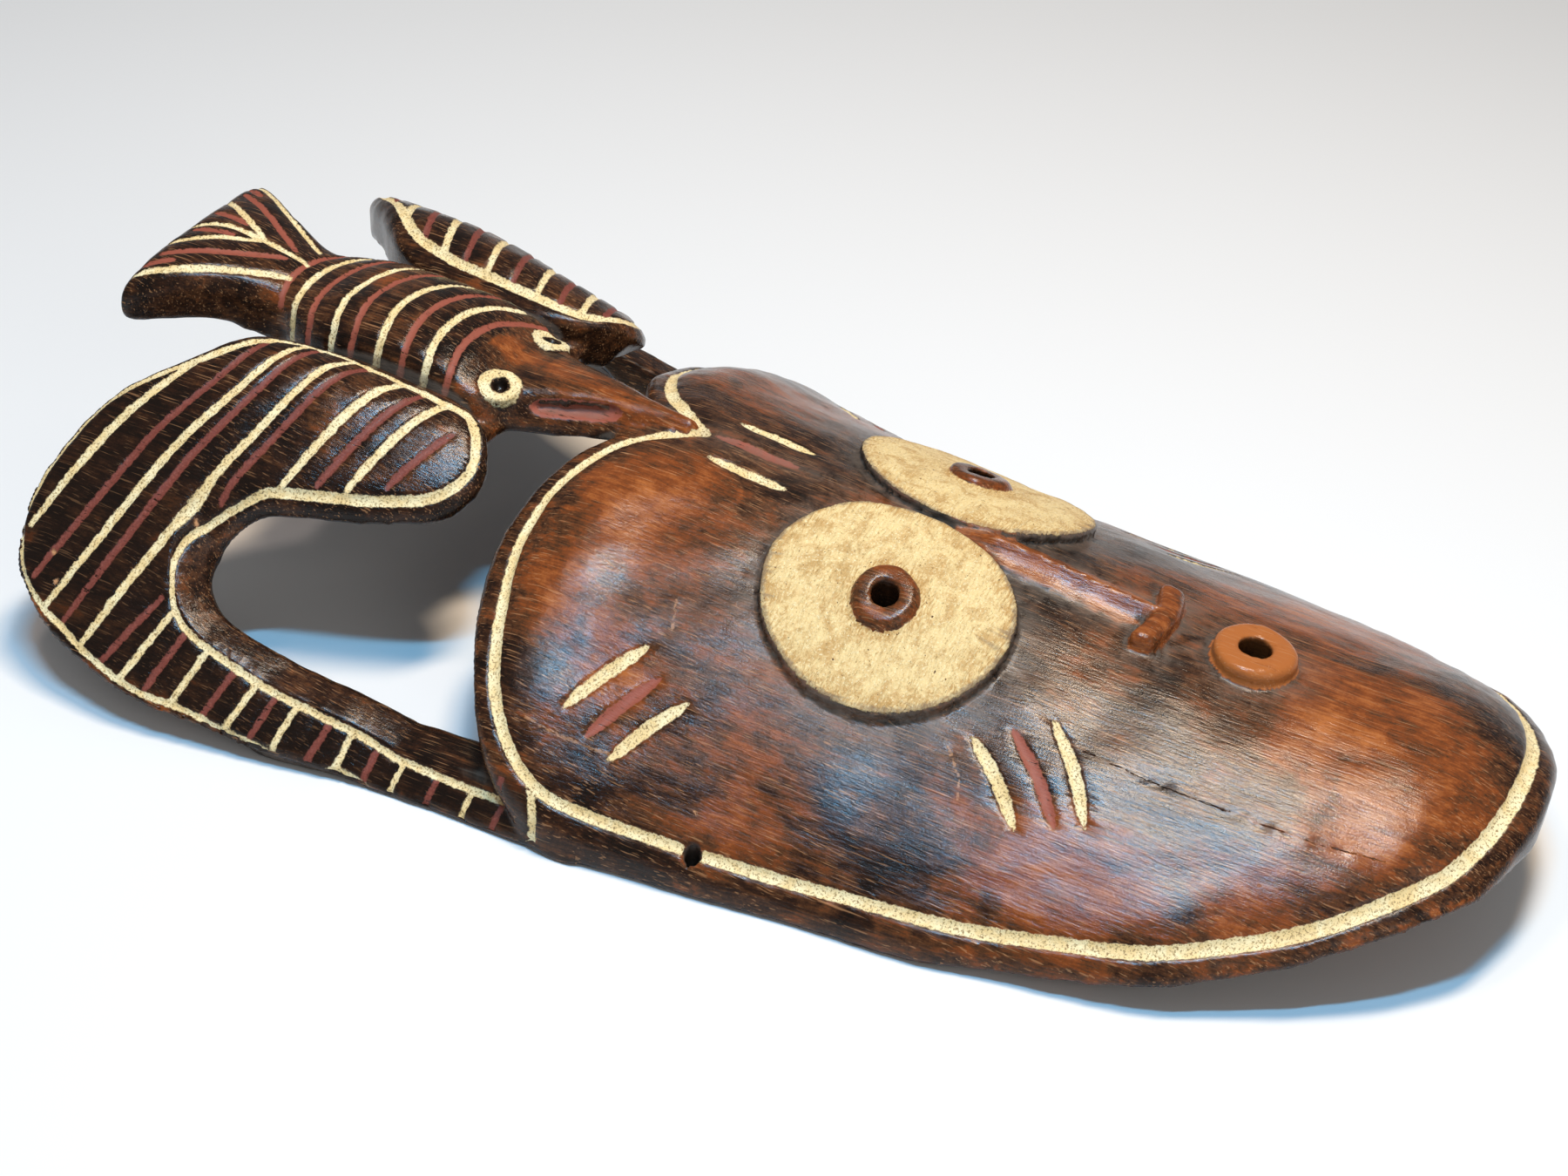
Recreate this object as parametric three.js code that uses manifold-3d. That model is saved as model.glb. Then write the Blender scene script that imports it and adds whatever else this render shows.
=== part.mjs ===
// Carved bird-crest face mask, one piece of wood.
// Millimetres. The mask lies on its back: z is up from the resting plane, y runs from the chin to the bird's tail,
// x is across, and the mask is the same left and right.
import * as THREE from "three";
import { mergeVertices } from "three/addons/utils/BufferGeometryUtils.js";
import Module from "manifold-3d";

// Face: the height of its middle line, the roundness and the side slope of its cross-section, all along y.
const FACE_RIDGE = [
  [-227, 45], [-200, 52], [-170, 53.4], [-138, 54.6], [-109, 57.3], [-84, 60.8],
  [-38, 66.7], [7, 70.6], [35, 73.4], [53, 74.5], [75, 71.7],
];
const FACE_ROUNDNESS = [[-226, 58], [-190, 65], [-140, 71], [-85, 67], [-45, 65], [-5, 70], [30, 82], [56, 109], [76, 109]];
const FACE_SIDE_SLOPE = [[-226, 0.94], [-190, 0.92], [-140, 0.88], [-85, 0.9], [-45, 0.92], [-5, 0.93], [30, 0.95], [56, 0.98], [76, 0.98]];
// The painted line round the face, seen from above, from the notch under the beak to the chin (right half).
const FACE_LINE = [
  [0, 40.2], [3.4, 45.6], [7, 49.6], [15, 57.2], [25.3, 63.3], [38.6, 67.5], [54, 68.8], [69.5, 66], [87.6, 59],
  [99.8, 52.3], [109.3, 41.8], [113.3, 29.4], [112.8, 16], [111, -2.7], [107.7, -33.5], [104.7, -58.6], [101.5, -88.4],
  [96.2, -116.5], [89.4, -143.3], [77.2, -167.8], [64, -187.5], [45, -206.3], [30.5, -213.6], [15, -217.4], [0, -218.4],
];
// Plain edge outside the painted line, along y.
const FACE_BAND = [[-218, 8], [-200, 7.3], [-180, 5.5], [40, 5.5], [62, 7.5]];
const FACE_SHOULDER = 2.5; // how far the dome is drawn down at the line
const FACE_WALL = 17; // wood between the front and the hollow back, measured straight down
// Height of the flat land round the back of the face, along y: it rises to the chin and behind the brow.
const FACE_LAND = [
  [-227, 32], [-210, 29], [-191, 22.5], [-171, 15], [-143, 9], [-116, 4.5], [-90, 1.5], [-70, 0],
  [20, 0], [32, 4], [42, 12], [52, 22], [62, 35], [75, 46],
];

// Wings: crest height along y, and the cross-section that falls to both sides of the crest.
const WING_CREST = [[78, 71], [88, 73.7], [104, 78.1], [120, 81.8], [136, 85.7], [154, 87.4], [170, 87.4], [190, 84.9], [228, 81.9]];
const WING_CREST_ROUNDNESS = [[90, 19.8], [140, 14.6], [200, 21.3]];
const WING_CREST_AT = [[90, 37.1], [200, 53.2]];
const WING_SLOPE = 1.06;
// Ribs across the right wing, from its tip round the hook and down the arm: x, y on the outer edge, x, y on the edge
// of the opening.
const WING_RIBS = [
  [41, 89.8, 45.5, 86.8], [37.2, 93, 50.5, 86.2], [33.6, 98, 55.8, 88], [30.6, 103, 60, 90.8],
  [28.4, 109.5, 64, 95.5], [27, 117, 67, 101], [26.7, 125, 70, 107.5], [26.8, 134, 72.8, 114.5],
  [27.6, 144, 75.5, 121.5], [29.5, 154, 78, 128.5], [33.5, 164.5, 80.5, 135], [41, 174, 83, 141],
  [50.5, 183, 86, 146.2], [61.5, 193.5, 89, 149.8], [74.5, 203.8, 92.2, 151.8], [89, 210.4, 95.2, 151.8],
  [103, 211.6, 98, 150], [114.8, 208, 100.3, 147], [122.6, 199.3, 101.8, 143], [127.4, 187.5, 102.6, 138],
  [130, 174, 102.8, 132], [131.1, 160, 102.6, 126], [130.1, 146.5, 102, 118.5], [127.8, 132, 101.3, 110],
  [125.5, 116, 100.5, 101], [122.6, 99.5, 99.6, 90], [120.1, 84, 98.9, 77], [119.2, 68, 98.4, 63],
  [118.9, 50, 98.3, 48], [118.9, 33, 98.3, 33], [118.4, 16, 98.5, 16],
];
const WING_WALL = 17.5; // thickness measured straight down
const WING_EDGE = { body: 17.5, outer: 2.5, opening: 8 }; // the same at the edges
const WING_BEVEL = 11.5; // width of the bevel round the opening
const WING_BEVEL_SLOPE = 0.85;

// Bird: middle height, half width and crown of its upper side, half width and height of its underside, along y.
const BIRD_TOP = [
  [32.6, 73.6], [40.2, 75.1], [52.9, 76.5], [65, 77.8], [74.1, 78.4], [86.1, 78.4], [95.1, 78.1], [102.2, 78.3],
  [107.4, 80.6], [113.7, 84.1], [122.9, 87.2], [140.2, 89.3], [159.2, 89], [174.1, 87.5], [180.2, 87.9], [191.5, 90.8],
  [203.7, 93.3], [210.7, 93.7], [218.6, 92.6], [225, 90],
];
const BIRD_WIDTH = [
  [32.6, 1.2], [40, 1.8], [53, 4.5], [65, 7.4], [78, 10.5], [90, 14.5], [97, 18.5], [102, 23], [107, 25.5], [118, 25.2],
  [140, 25], [158.6, 24.5], [171.5, 22], [178.7, 17.5], [184.9, 18], [194, 22], [204.2, 27.5], [214.2, 34.5], [223, 41],
  [225, 41.8],
];
const BIRD_CROWN = [
  [32.6, 1.5], [53, 2.5], [65, 3.2], [90, 4.5], [100, 4.5], [107, 6], [115, 8.5], [160, 8.5], [172, 7.5], [182, 5.5],
  [203, 5.5], [225, 8],
];
const BIRD_UNDER_WIDTH = [
  [32.6, 5], [53, 9], [65, 11.5], [78, 14.5], [88, 17.5], [97, 20.5], [102, 24], [107, 26.5], [120, 26], [158, 25.5],
  [171.5, 22.5], [178.7, 18], [194, 22.5], [204.2, 28], [214.2, 35], [225, 43],
];
const BIRD_UNDER = [[32.6, 64], [60, 65.5], [80, 64.5], [95, 64], [110, 64], [140, 66], [170, 68], [180, 71], [203.7, 77.8], [225, 79.5]];
const BIRD_UNDER_ARCH = [[32.6, 0], [170, 0], [185, 3], [203, 5.5], [225, 7.5]];
const BIRD_FROM = 33;
const BIRD_TO = 224;
const BIRD_EYE = { x: 15.5, y: 100.5, radius: 6.8, raised: 1.6, pit: 2.6 };
// The web of wood between the body and each wing.
const WEB = { from: 98, to: 173, inner: 12, outer: 34, below: 6.5, under: 62 };

// Face details.
const DISC = { x: 34.4, y: -39, across: 32.8, along: 36.6, raised: 3.6, sunk: 5 }; // round on the curved face
const PUPIL = { x: 36.4, y: -38.2, radius: 9.9, raised: 3, bore: 4.2 };
const MOUTH = { y: -137.9, radius: 12.3, raised: 4.6, bore: 4.9 };
const NOSE = { from: -44, to: -111, width: 6.4, raised: 3.4 };
const NOSE_BAR = { y: -111.3, reach: 16.3, length: 6.2, raised: 4.4 };
const CORD_HOLES = [[109.6, -17, 2.4]]; // x, y, radius, on each side

const SEGMENTS_FACE = 30; // of half the outline
const WING_SECTIONS = 42;
const SKEW = 0.07; // the tail and the wings beside it sit a little askew: y shifts by this share of x
const TAIL_REACH = 3; // the tail's left corner reaches this much further
const PIERCE = 200; // longer than the mask is deep

// A smooth value through stations given as [along, value].
function profile(stations, along) {
  const last = stations.length - 1;
  const at = Math.min(Math.max(along, stations[0][0]), stations[last][0]);
  let k = 0;
  while (k < last - 1 && at > stations[k + 1][0]) k += 1;
  const slope = (i) => {
    const before = stations[Math.max(i - 1, 0)];
    const after = stations[Math.min(i + 1, last)];
    return (after[1] - before[1]) / (after[0] - before[0]);
  };
  const span = stations[k + 1][0] - stations[k][0];
  const t = (at - stations[k][0]) / span;
  const rise = THREE.MathUtils.lerp(stations[k][1], stations[k + 1][1], t * t * (3 - 2 * t));
  return rise + span * t * (1 - t) * ((1 - t) * slope(k) - t * slope(k + 1));
}

const smooth = (t) => THREE.MathUtils.smoothstep(t, 0, 1);

// Drop of an edge rounded to the given radius, at a distance inside the edge.
function rounding(distance, radius) {
  const t = THREE.MathUtils.clamp((radius - distance) / radius, 0, 1);
  return radius * (1 - Math.sqrt(1 - t * t));
}

// Distance from a point to a line of points.
function distanceTo(line, x, y) {
  let nearest = Infinity;
  for (let i = 0; i + 1 < line.length; i += 1) {
    const dx = line[i + 1].x - line[i].x;
    const dy = line[i + 1].y - line[i].y;
    const t = THREE.MathUtils.clamp(((x - line[i].x) * dx + (y - line[i].y) * dy) / (dx * dx + dy * dy), 0, 1);
    nearest = Math.min(nearest, Math.hypot(x - line[i].x - t * dx, y - line[i].y - t * dy));
  }
  return nearest;
}

function curve(points, count) {
  const through = new THREE.CatmullRomCurve3(points.map(([x, y]) => new THREE.Vector3(x, y, 0)), false, "centripetal");
  return through.getPoints(count).map((p) => new THREE.Vector2(p.x, p.y));
}

// The face's front surface without its details.
const faceLine = new THREE.CatmullRomCurve3(FACE_LINE.map(([x, y]) => new THREE.Vector3(x, y, 0)), false, "centripetal")
  .getSpacedPoints(SEGMENTS_FACE)
  .map((p) => new THREE.Vector2(p.x, p.y));

function dome(x, y) {
  const round = profile(FACE_ROUNDNESS, y);
  return profile(FACE_RIDGE, y) - (Math.hypot(round, profile(FACE_SIDE_SLOPE, y) * x) - round);
}

function faceTop(x, y, inside) {
  const shoulder = FACE_SHOULDER * Math.exp(-Math.max(inside, 0) / 6);
  return dome(x, y) - shoulder - rounding(inside + profile(FACE_BAND, y), 4);
}

function faceBack(x, y) {
  return Math.max(0, profile(FACE_LAND, y), dome(x, y) - FACE_WALL);
}

// The wings' upper surface.
const wingOuter = curve(WING_RIBS.map(([x, y]) => [x, y]), WING_SECTIONS);
const wingInner = curve(WING_RIBS.map((rib) => [rib[2], rib[3]]), WING_SECTIONS);

function roof(x, y) {
  const round = profile(WING_CREST_ROUNDNESS, y);
  const off = Math.abs(x) - profile(WING_CREST_AT, y);
  return profile(WING_CREST, y) - WING_SLOPE * (Math.hypot(round, off) - round);
}

function bevelDrop(u, fromOpening) {
  return WING_BEVEL_SLOPE * Math.max(WING_BEVEL - fromOpening, 0) * smooth((u - 80) / 12);
}

function wingTop(x, y) {
  const u = Math.abs(x);
  const fromOpening = distanceTo(wingInner, u, y);
  const fromOuter = distanceTo(wingOuter, u, y);
  const edge = THREE.MathUtils.lerp(3.5, 1.5, smooth((u - 95) / 25));
  return roof(u, y) - bevelDrop(u, fromOpening) - rounding(fromOuter, edge) - rounding(fromOpening, 3);
}

function wingBack(x, y) {
  const u = Math.abs(x);
  const fromOpening = distanceTo(wingInner, u, y);
  const arm = smooth((u - 85) / 12) * smooth((140 - y) / 30);
  const outer = THREE.MathUtils.lerp(WING_EDGE.body, WING_EDGE.outer, smooth((u - 64) / 38));
  const opening = THREE.MathUtils.lerp(WING_EDGE.opening, WING_WALL, arm);
  const taper = THREE.MathUtils.lerp(14, 5, arm);
  const thick = Math.min(
    THREE.MathUtils.lerp(outer, WING_WALL, smooth(distanceTo(wingOuter, u, y) / taper)),
    THREE.MathUtils.lerp(opening, WING_WALL, smooth(fromOpening / 12)),
  );
  return Math.max(0, roof(u, y) - bevelDrop(u, fromOpening) - thick);
}

const wasm = await Module();
wasm.setup();

// One closed solid from triangles given as point triples.
function solidFrom(triangles) {
  const corners = triangles.flat().flatMap((p) => [p.x, p.y, p.z]);
  const soup = new THREE.BufferGeometry().setAttribute("position", new THREE.Float32BufferAttribute(corners, 3));
  const merged = mergeVertices(soup, 1e-3);
  const index = Array.from(merged.index.array);
  const kept = [];
  for (let i = 0; i < index.length; i += 3) {
    const [a, b, c] = index.slice(i, i + 3);
    if (a !== b && b !== c && c !== a) kept.push(a, b, c);
  }
  return new wasm.Manifold(
    new wasm.Mesh({ numProp: 3, vertProperties: merged.attributes.position.array, triVerts: new Uint32Array(kept) }),
  );
}

// A solid between two heights over a plan. The plan is rows of points; with closed rows the last joins the first.
function slab(rows, closed, top, bottom) {
  const key = (p) => p.x.toFixed(3) + " " + p.y.toFixed(3);
  const plan = [];
  const columns = rows[0].length;
  for (let j = 0; j + 1 < rows.length; j += 1) {
    for (let i = 0; i < (closed ? columns : columns - 1); i += 1) {
      const a = rows[j][i];
      const b = rows[j][(i + 1) % columns];
      const c = rows[j + 1][(i + 1) % columns];
      const d = rows[j + 1][i];
      plan.push([a, b, c], [a, c, d]);
    }
  }
  const area = ([a, b, c]) => (b.x - a.x) * (c.y - a.y) - (c.x - a.x) * (b.y - a.y);
  const upward = plan.reduce((sum, triangle) => sum + area(triangle), 0) > 0;
  const triangles = [];
  const edges = new Map();
  for (const [a, b, c] of plan) {
    if (new Set([key(a), key(b), key(c)]).size < 3) continue;
    const [p, q, r] = upward ? [a, b, c] : [a, c, b];
    const high = [p, q, r].map((v) => new THREE.Vector3(v.x, v.y, top(v.x, v.y)));
    const low = [p, r, q].map((v) => new THREE.Vector3(v.x, v.y, bottom(v.x, v.y)));
    triangles.push(high, low);
    for (const [s, t] of [[p, q], [q, r], [r, p]]) {
      if (edges.has(key(t) + "|" + key(s))) edges.delete(key(t) + "|" + key(s));
      else edges.set(key(s) + "|" + key(t), [s, t]);
    }
  }
  for (const [s, t] of edges.values()) {
    const sHigh = new THREE.Vector3(s.x, s.y, top(s.x, s.y));
    const tHigh = new THREE.Vector3(t.x, t.y, top(t.x, t.y));
    const sLow = new THREE.Vector3(s.x, s.y, bottom(s.x, s.y));
    const tLow = new THREE.Vector3(t.x, t.y, bottom(t.x, t.y));
    triangles.push([sHigh, sLow, tLow], [sHigh, tLow, tHigh]);
  }
  return solidFrom(triangles);
}

// The face: rings that follow its outline and then draw in to a middle line.
function makeFace() {
  const count = faceLine.length;
  const outward = faceLine.map((p, i) => {
    const before = faceLine[Math.max(i - 1, 0)];
    const after = faceLine[Math.min(i + 1, count - 1)];
    const along = after.clone().sub(before).normalize();
    if (i === 0) return new THREE.Vector2(0, 1);
    if (i === count - 1) return new THREE.Vector2(0, -1);
    return new THREE.Vector2(-along.y, along.x);
  });
  const ring = (share, offset) => faceLine.map((p, i) => {
    const moved = p.clone().addScaledVector(outward[i], share * profile(FACE_BAND, p.y) + offset);
    moved.x = i === 0 || i === count - 1 ? 0 : Math.max(moved.x, 0);
    return moved;
  });
  const middle = faceLine.map((p, i) => new THREE.Vector2(0, THREE.MathUtils.lerp(30, -168, i / (count - 1))));
  const inner = ring(0, -5.5);
  const halves = [ring(1, 0), ring(1, -1.2), ring(1, -3.6), ring(0, 0), inner];
  for (const t of [0.12, 0.26, 0.42, 0.58, 0.74, 0.88, 1]) {
    halves.push(inner.map((p, i) => p.clone().lerp(middle[i], t)));
  }
  const rows = halves.map((half) => [
    ...half,
    ...half.slice(1, -1).reverse().map((p) => new THREE.Vector2(-p.x, p.y)),
  ]);
  const fullLine = [...faceLine, ...faceLine.slice(0, -1).reverse().map((p) => new THREE.Vector2(-p.x, p.y))];
  // Rings 0 to 2 lie outside the painted line, the others inside it.
  const outside = new Set(rows.slice(0, 3).flat().map((p) => p.x.toFixed(3) + " " + p.y.toFixed(3)));
  const top = (x, y) => {
    const away = distanceTo(fullLine, x, y);
    return faceTop(x, y, outside.has(x.toFixed(3) + " " + y.toFixed(3)) ? -Math.min(away, profile(FACE_BAND, y)) : away);
  };
  return slab(rows, true, top, faceBack);
}

function makeWing(side) {
  const rows = [];
  for (let i = 0; i < wingOuter.length; i += 1) {
    const a = wingOuter[i];
    const b = wingInner[i];
    const width = a.distanceTo(b);
    const bevel = Math.min(WING_BEVEL + 1, 0.55 * width);
    const edge = Math.min(3, 0.12 * width);
    const stops = [0, 0.3 * edge, edge];
    for (const t of [0.33, 0.67, 1]) stops.push(edge + t * (width - bevel - edge));
    stops.push(width - 0.4 * bevel, width - 0.12 * bevel, width);
    rows.push(stops.map((s) => a.clone().lerp(b, s / width)).map((p) => new THREE.Vector2(side * p.x, p.y)));
  }
  return slab(rows, false, wingTop, wingBack);
}

// The bird: cross-sections along y, each a closed loop of points.
function birdSection(y) {
  const width = profile(BIRD_WIDTH, y);
  const crown = profile(BIRD_CROWN, y);
  const under = profile(BIRD_UNDER_WIDTH, y);
  const endRound = rounding(BIRD_TO - y, 3);
  const loop = [];
  for (let t = 1; t >= -1; t -= 0.2) {
    const level = profile(BIRD_TOP, y) - crown * (1 - Math.sqrt(Math.max(1 - Math.abs(t) ** 2.2, 0)));
    loop.push(new THREE.Vector3(width * t, y, level - endRound));
  }
  for (let t = -1; t <= 1.01; t += 0.5) {
    const level = profile(BIRD_UNDER, y) - profile(BIRD_UNDER_ARCH, y) * t * t;
    loop.push(new THREE.Vector3(under * t, y, level + 0.5 * endRound));
  }
  return loop;
}

function loft(sections) {
  const triangles = [];
  const count = sections[0].length;
  for (let j = 0; j + 1 < sections.length; j += 1) {
    for (let i = 0; i < count; i += 1) {
      const a = sections[j][i];
      const b = sections[j][(i + 1) % count];
      const c = sections[j + 1][(i + 1) % count];
      const d = sections[j + 1][i];
      triangles.push([a, b, c], [a, c, d]);
    }
  }
  for (const [end, flip] of [[sections[0], true], [sections[sections.length - 1], false]]) {
    const centre = end.reduce((sum, p) => sum.add(p), new THREE.Vector3()).divideScalar(count);
    for (let i = 0; i < count; i += 1) {
      const a = end[i];
      const b = end[(i + 1) % count];
      triangles.push(flip ? [centre, b, a] : [centre, a, b]);
    }
  }
  const solid = solidFrom(triangles);
  if (solid.volume() > 0) return solid;
  return solidFrom(triangles.map(([a, b, c]) => [a, c, b]));
}

function makeBird() {
  const stations = [
    BIRD_FROM, 41, 50, 59, 68, 77, 85, 91, 96, 100, 104, 108, 113, 119, 127, 137, 148, 159, 167, 172, 176.5, 181, 186,
    192, 198, 204, 210, 216, 221, 223.4, BIRD_TO,
  ];
  return loft(stations.map(birdSection));
}

function makeWeb(side) {
  const rows = [];
  for (let y = WEB.from; y <= WEB.to + 0.01; y += (WEB.to - WEB.from) / 8) {
    const across = [0, 0.5, 1].map((t) => THREE.MathUtils.lerp(WEB.inner, WEB.outer, t));
    rows.push(across.map((u) => new THREE.Vector2(side * u, y)));
  }
  return slab(rows, false, (x, y) => roof(28, y) - WEB.below, () => WEB.under);
}

// A boss standing on the face, round or oval from above, with rings of points round its centre.
function boss(x, y, across, segments, rings, top, bottom, along = across) {
  const rows = rings.map((fraction) => {
    const row = [];
    for (let i = 0; i < segments; i += 1) {
      const angle = (2 * Math.PI * i) / segments;
      row.push(new THREE.Vector2(x + fraction * across * Math.cos(angle), y + fraction * along * Math.sin(angle)));
    }
    return row;
  });
  return slab(rows, true, top, bottom);
}

function bore(x, y, radius, segments, from, to) {
  return boss(x, y, radius, segments, [1, 0], () => to, () => from);
}

function makeDisc(side) {
  const x = side * DISC.x;
  const top = (px, py) => {
    const inside = DISC.across * (1 - Math.hypot((px - x) / DISC.across, (py - DISC.y) / DISC.along));
    return dome(px, py) + DISC.raised - rounding(inside, 1.2);
  };
  const bottom = (px, py) => dome(px, py) - DISC.sunk;
  return boss(x, DISC.y, DISC.across, 32, [1, 0.965, 0.66, 0.33, 0], top, bottom, DISC.along);
}

function makePupil(side) {
  const x = side * PUPIL.x;
  const top = (px, py) => {
    const inside = PUPIL.radius - Math.hypot(px - x, py - PUPIL.y);
    return dome(px, py) + DISC.raised + PUPIL.raised - rounding(inside, 2);
  };
  return boss(x, PUPIL.y, PUPIL.radius, 20, [1, 0.93, 0.8, 0.3, 0], top, (px, py) => dome(px, py) - 2);
}

function makeMouth() {
  const top = (px, py) => {
    const inside = MOUTH.radius - Math.hypot(px, py - MOUTH.y);
    return dome(0, py) + MOUTH.raised - rounding(inside, 2.5);
  };
  return boss(0, MOUTH.y, MOUTH.radius, 24, [1, 0.92, 0.78, 0.3, 0], top, (px, py) => dome(px, py) - 3);
}

function makeNose() {
  const rows = [];
  for (let step = 0; step <= 8; step += 1) {
    const y = THREE.MathUtils.lerp(NOSE.from, NOSE.to, step / 8);
    rows.push([-1, -0.5, 0, 0.5, 1].map((t) => new THREE.Vector2((t * NOSE.width) / 2, y)));
  }
  const top = (x, y) => {
    const start = smooth((NOSE.from - y) / 12);
    return dome(0, y) - 0.6 + (NOSE.raised + 0.6) * start * Math.cos((1.2 * x) / (NOSE.width / 2));
  };
  return slab(rows, false, top, (x, y) => dome(x, y) - 3);
}

function makeNoseBar() {
  const rows = [];
  for (let step = 0; step <= 10; step += 1) {
    const x = THREE.MathUtils.lerp(-NOSE_BAR.reach, NOSE_BAR.reach, step / 10);
    const half = (NOSE_BAR.length / 2) * Math.sqrt(1.12 - (x / NOSE_BAR.reach) ** 8);
    rows.push([-1, -0.5, 0.5, 1].map((t) => new THREE.Vector2(x, NOSE_BAR.y - 0.08 * Math.abs(x) + t * half)));
  }
  const top = (x, y) => {
    const inside = Math.min(NOSE_BAR.reach - Math.abs(x), NOSE_BAR.length / 2 - Math.abs(y - NOSE_BAR.y + 0.08 * Math.abs(x)));
    return dome(x, y) + NOSE_BAR.raised - rounding(Math.max(inside, 0), 1.6);
  };
  return slab(rows, false, top, (x, y) => dome(x, y) - 3);
}

function makeBirdEye(side) {
  const level = profile(BIRD_TOP, BIRD_EYE.y) - 0.6 * profile(BIRD_CROWN, BIRD_EYE.y);
  const top = (x) => level + BIRD_EYE.raised - 0.22 * (Math.abs(x) - BIRD_EYE.x);
  return boss(side * BIRD_EYE.x, BIRD_EYE.y, BIRD_EYE.radius, 18, [1, 0.45, 0], top, () => level - 8);
}

function makeBirdEyePit(side) {
  const level = profile(BIRD_TOP, BIRD_EYE.y) - 0.6 * profile(BIRD_CROWN, BIRD_EYE.y) + BIRD_EYE.raised;
  return bore(side * BIRD_EYE.x, BIRD_EYE.y, BIRD_EYE.pit, 10, level - 3.2, PIERCE);
}

let wood = makeFace().add(makeBird()).add(makeMouth()).add(makeNose()).add(makeNoseBar());
for (const side of [1, -1]) {
  for (const piece of [makeWing(side), makeWeb(side), makeDisc(side), makePupil(side), makeBirdEye(side)]) {
    wood = wood.add(piece);
  }
  wood = wood.subtract(bore(side * PUPIL.x, PUPIL.y, PUPIL.bore, 16, -1, PIERCE));
  wood = wood.subtract(makeBirdEyePit(side));
  for (const [x, y, radius] of CORD_HOLES) wood = wood.subtract(bore(side * x, y, radius, 10, -1, PIERCE));
}
wood = wood.subtract(bore(0, MOUTH.y, MOUTH.bore, 18, -1, PIERCE));

const made = wood.getMesh();
const corners = new Float32Array(made.vertProperties);
for (let i = 0; i < corners.length; i += 3) {
  const [x, y] = [corners[i], corners[i + 1]];
  corners[i + 1] += SKEW * x * smooth((y - 130) / 50) * smooth((85 - Math.abs(x)) / 30);
  corners[i + 1] += TAIL_REACH * smooth((y - 195) / 28) * smooth(-x / 40) * smooth((56 + x) / 10);
}
const geometry = new THREE.BufferGeometry();
geometry.setAttribute("position", new THREE.BufferAttribute(corners, 3));
geometry.setIndex(new THREE.BufferAttribute(new Uint32Array(made.triVerts), 1));
geometry.computeVertexNormals();

const mask = new THREE.Mesh(
  geometry,
  new THREE.MeshStandardMaterial({ color: 0x4a2415, roughness: 0.45, metalness: 0 }),
);
mask.name = "mask";

const root = new THREE.Group();
root.add(mask);
export default root;
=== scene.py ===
"""Carved bird-crest face mask: its detailed wood, paint and light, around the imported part.

The mask is one piece. Its form is worked out in millimetres as a field on a fine grid, negative inside
the wood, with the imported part's sizes refined where the photo shows more, and meshed. Each point of the
mesh then carries its distances to the painted and carved lines, for the material's colours and gloss.
"""
from itertools import cycle
from math import radians
from types import SimpleNamespace

import bpy
import numpy as np
from mathutils import Matrix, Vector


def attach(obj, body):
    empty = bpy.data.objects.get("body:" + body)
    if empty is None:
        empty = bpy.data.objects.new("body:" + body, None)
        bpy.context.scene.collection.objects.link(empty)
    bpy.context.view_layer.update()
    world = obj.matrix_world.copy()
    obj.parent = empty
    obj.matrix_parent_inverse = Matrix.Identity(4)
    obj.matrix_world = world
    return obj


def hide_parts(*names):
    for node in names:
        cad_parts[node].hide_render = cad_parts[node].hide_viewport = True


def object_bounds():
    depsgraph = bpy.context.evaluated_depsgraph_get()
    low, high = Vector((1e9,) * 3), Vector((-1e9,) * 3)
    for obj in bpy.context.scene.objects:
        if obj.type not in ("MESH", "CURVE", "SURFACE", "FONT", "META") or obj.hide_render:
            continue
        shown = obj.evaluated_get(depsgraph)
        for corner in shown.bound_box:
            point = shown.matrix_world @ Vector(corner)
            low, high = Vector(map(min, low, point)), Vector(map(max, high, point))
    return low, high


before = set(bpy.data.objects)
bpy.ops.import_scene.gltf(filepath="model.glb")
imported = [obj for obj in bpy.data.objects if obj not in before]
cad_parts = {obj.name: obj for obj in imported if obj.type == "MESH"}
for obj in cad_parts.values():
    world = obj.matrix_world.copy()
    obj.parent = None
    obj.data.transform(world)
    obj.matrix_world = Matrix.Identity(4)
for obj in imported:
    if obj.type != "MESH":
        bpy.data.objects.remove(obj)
cad_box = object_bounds()

# The form, in millimetres: x across the mask, y from the chin to the tail, z up from the resting plane.
# Both sides have the same form, so u stands for the distance from the middle, whichever side it is on.
# A name that ends in ACROSS or ALONG says where a change in u or y starts, and over what length it runs.

# Face: height of its middle line, roundness and side slope of its cross-section, all along y.
FACE_RIDGE = [
    (-227, 45), (-200, 52), (-170, 53.4), (-138, 54.6), (-109, 57.3), (-84, 60.8),
    (-38, 66.7), (7, 70.6), (35, 73.4), (53, 74.5), (75, 71.7),
]
FACE_ROUNDNESS = [
    (-226, 58), (-190, 65), (-140, 71), (-85, 67), (-45, 65), (-5, 70), (30, 82), (56, 109), (76, 109),
]
FACE_SIDE_SLOPE = [
    (-226, 0.94), (-190, 0.92), (-140, 0.88), (-85, 0.9), (-45, 0.92), (-5, 0.93), (30, 0.95),
    (56, 0.98), (76, 0.98),
]
# The painted line round the face, from the notch under the beak to the chin (right half).
FACE_LINE = [
    (0, 38.4), (3.4, 43.4), (7, 48.2), (15, 57.2), (25.3, 63.3), (38.6, 67.5), (54, 68.8), (69.5, 66),
    (87.6, 59), (99.8, 52.3), (109.3, 41.8), (113.3, 29.4), (112.8, 16), (111, -2.7), (107.7, -33.5),
    (104.7, -58.6), (101.5, -88.4), (96.2, -116.5), (89.4, -143.3), (77.2, -167.8), (64, -187.5),
    (45, -206.3), (30.5, -213.6), (15, -217.4), (0, -218.4),
]
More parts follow.
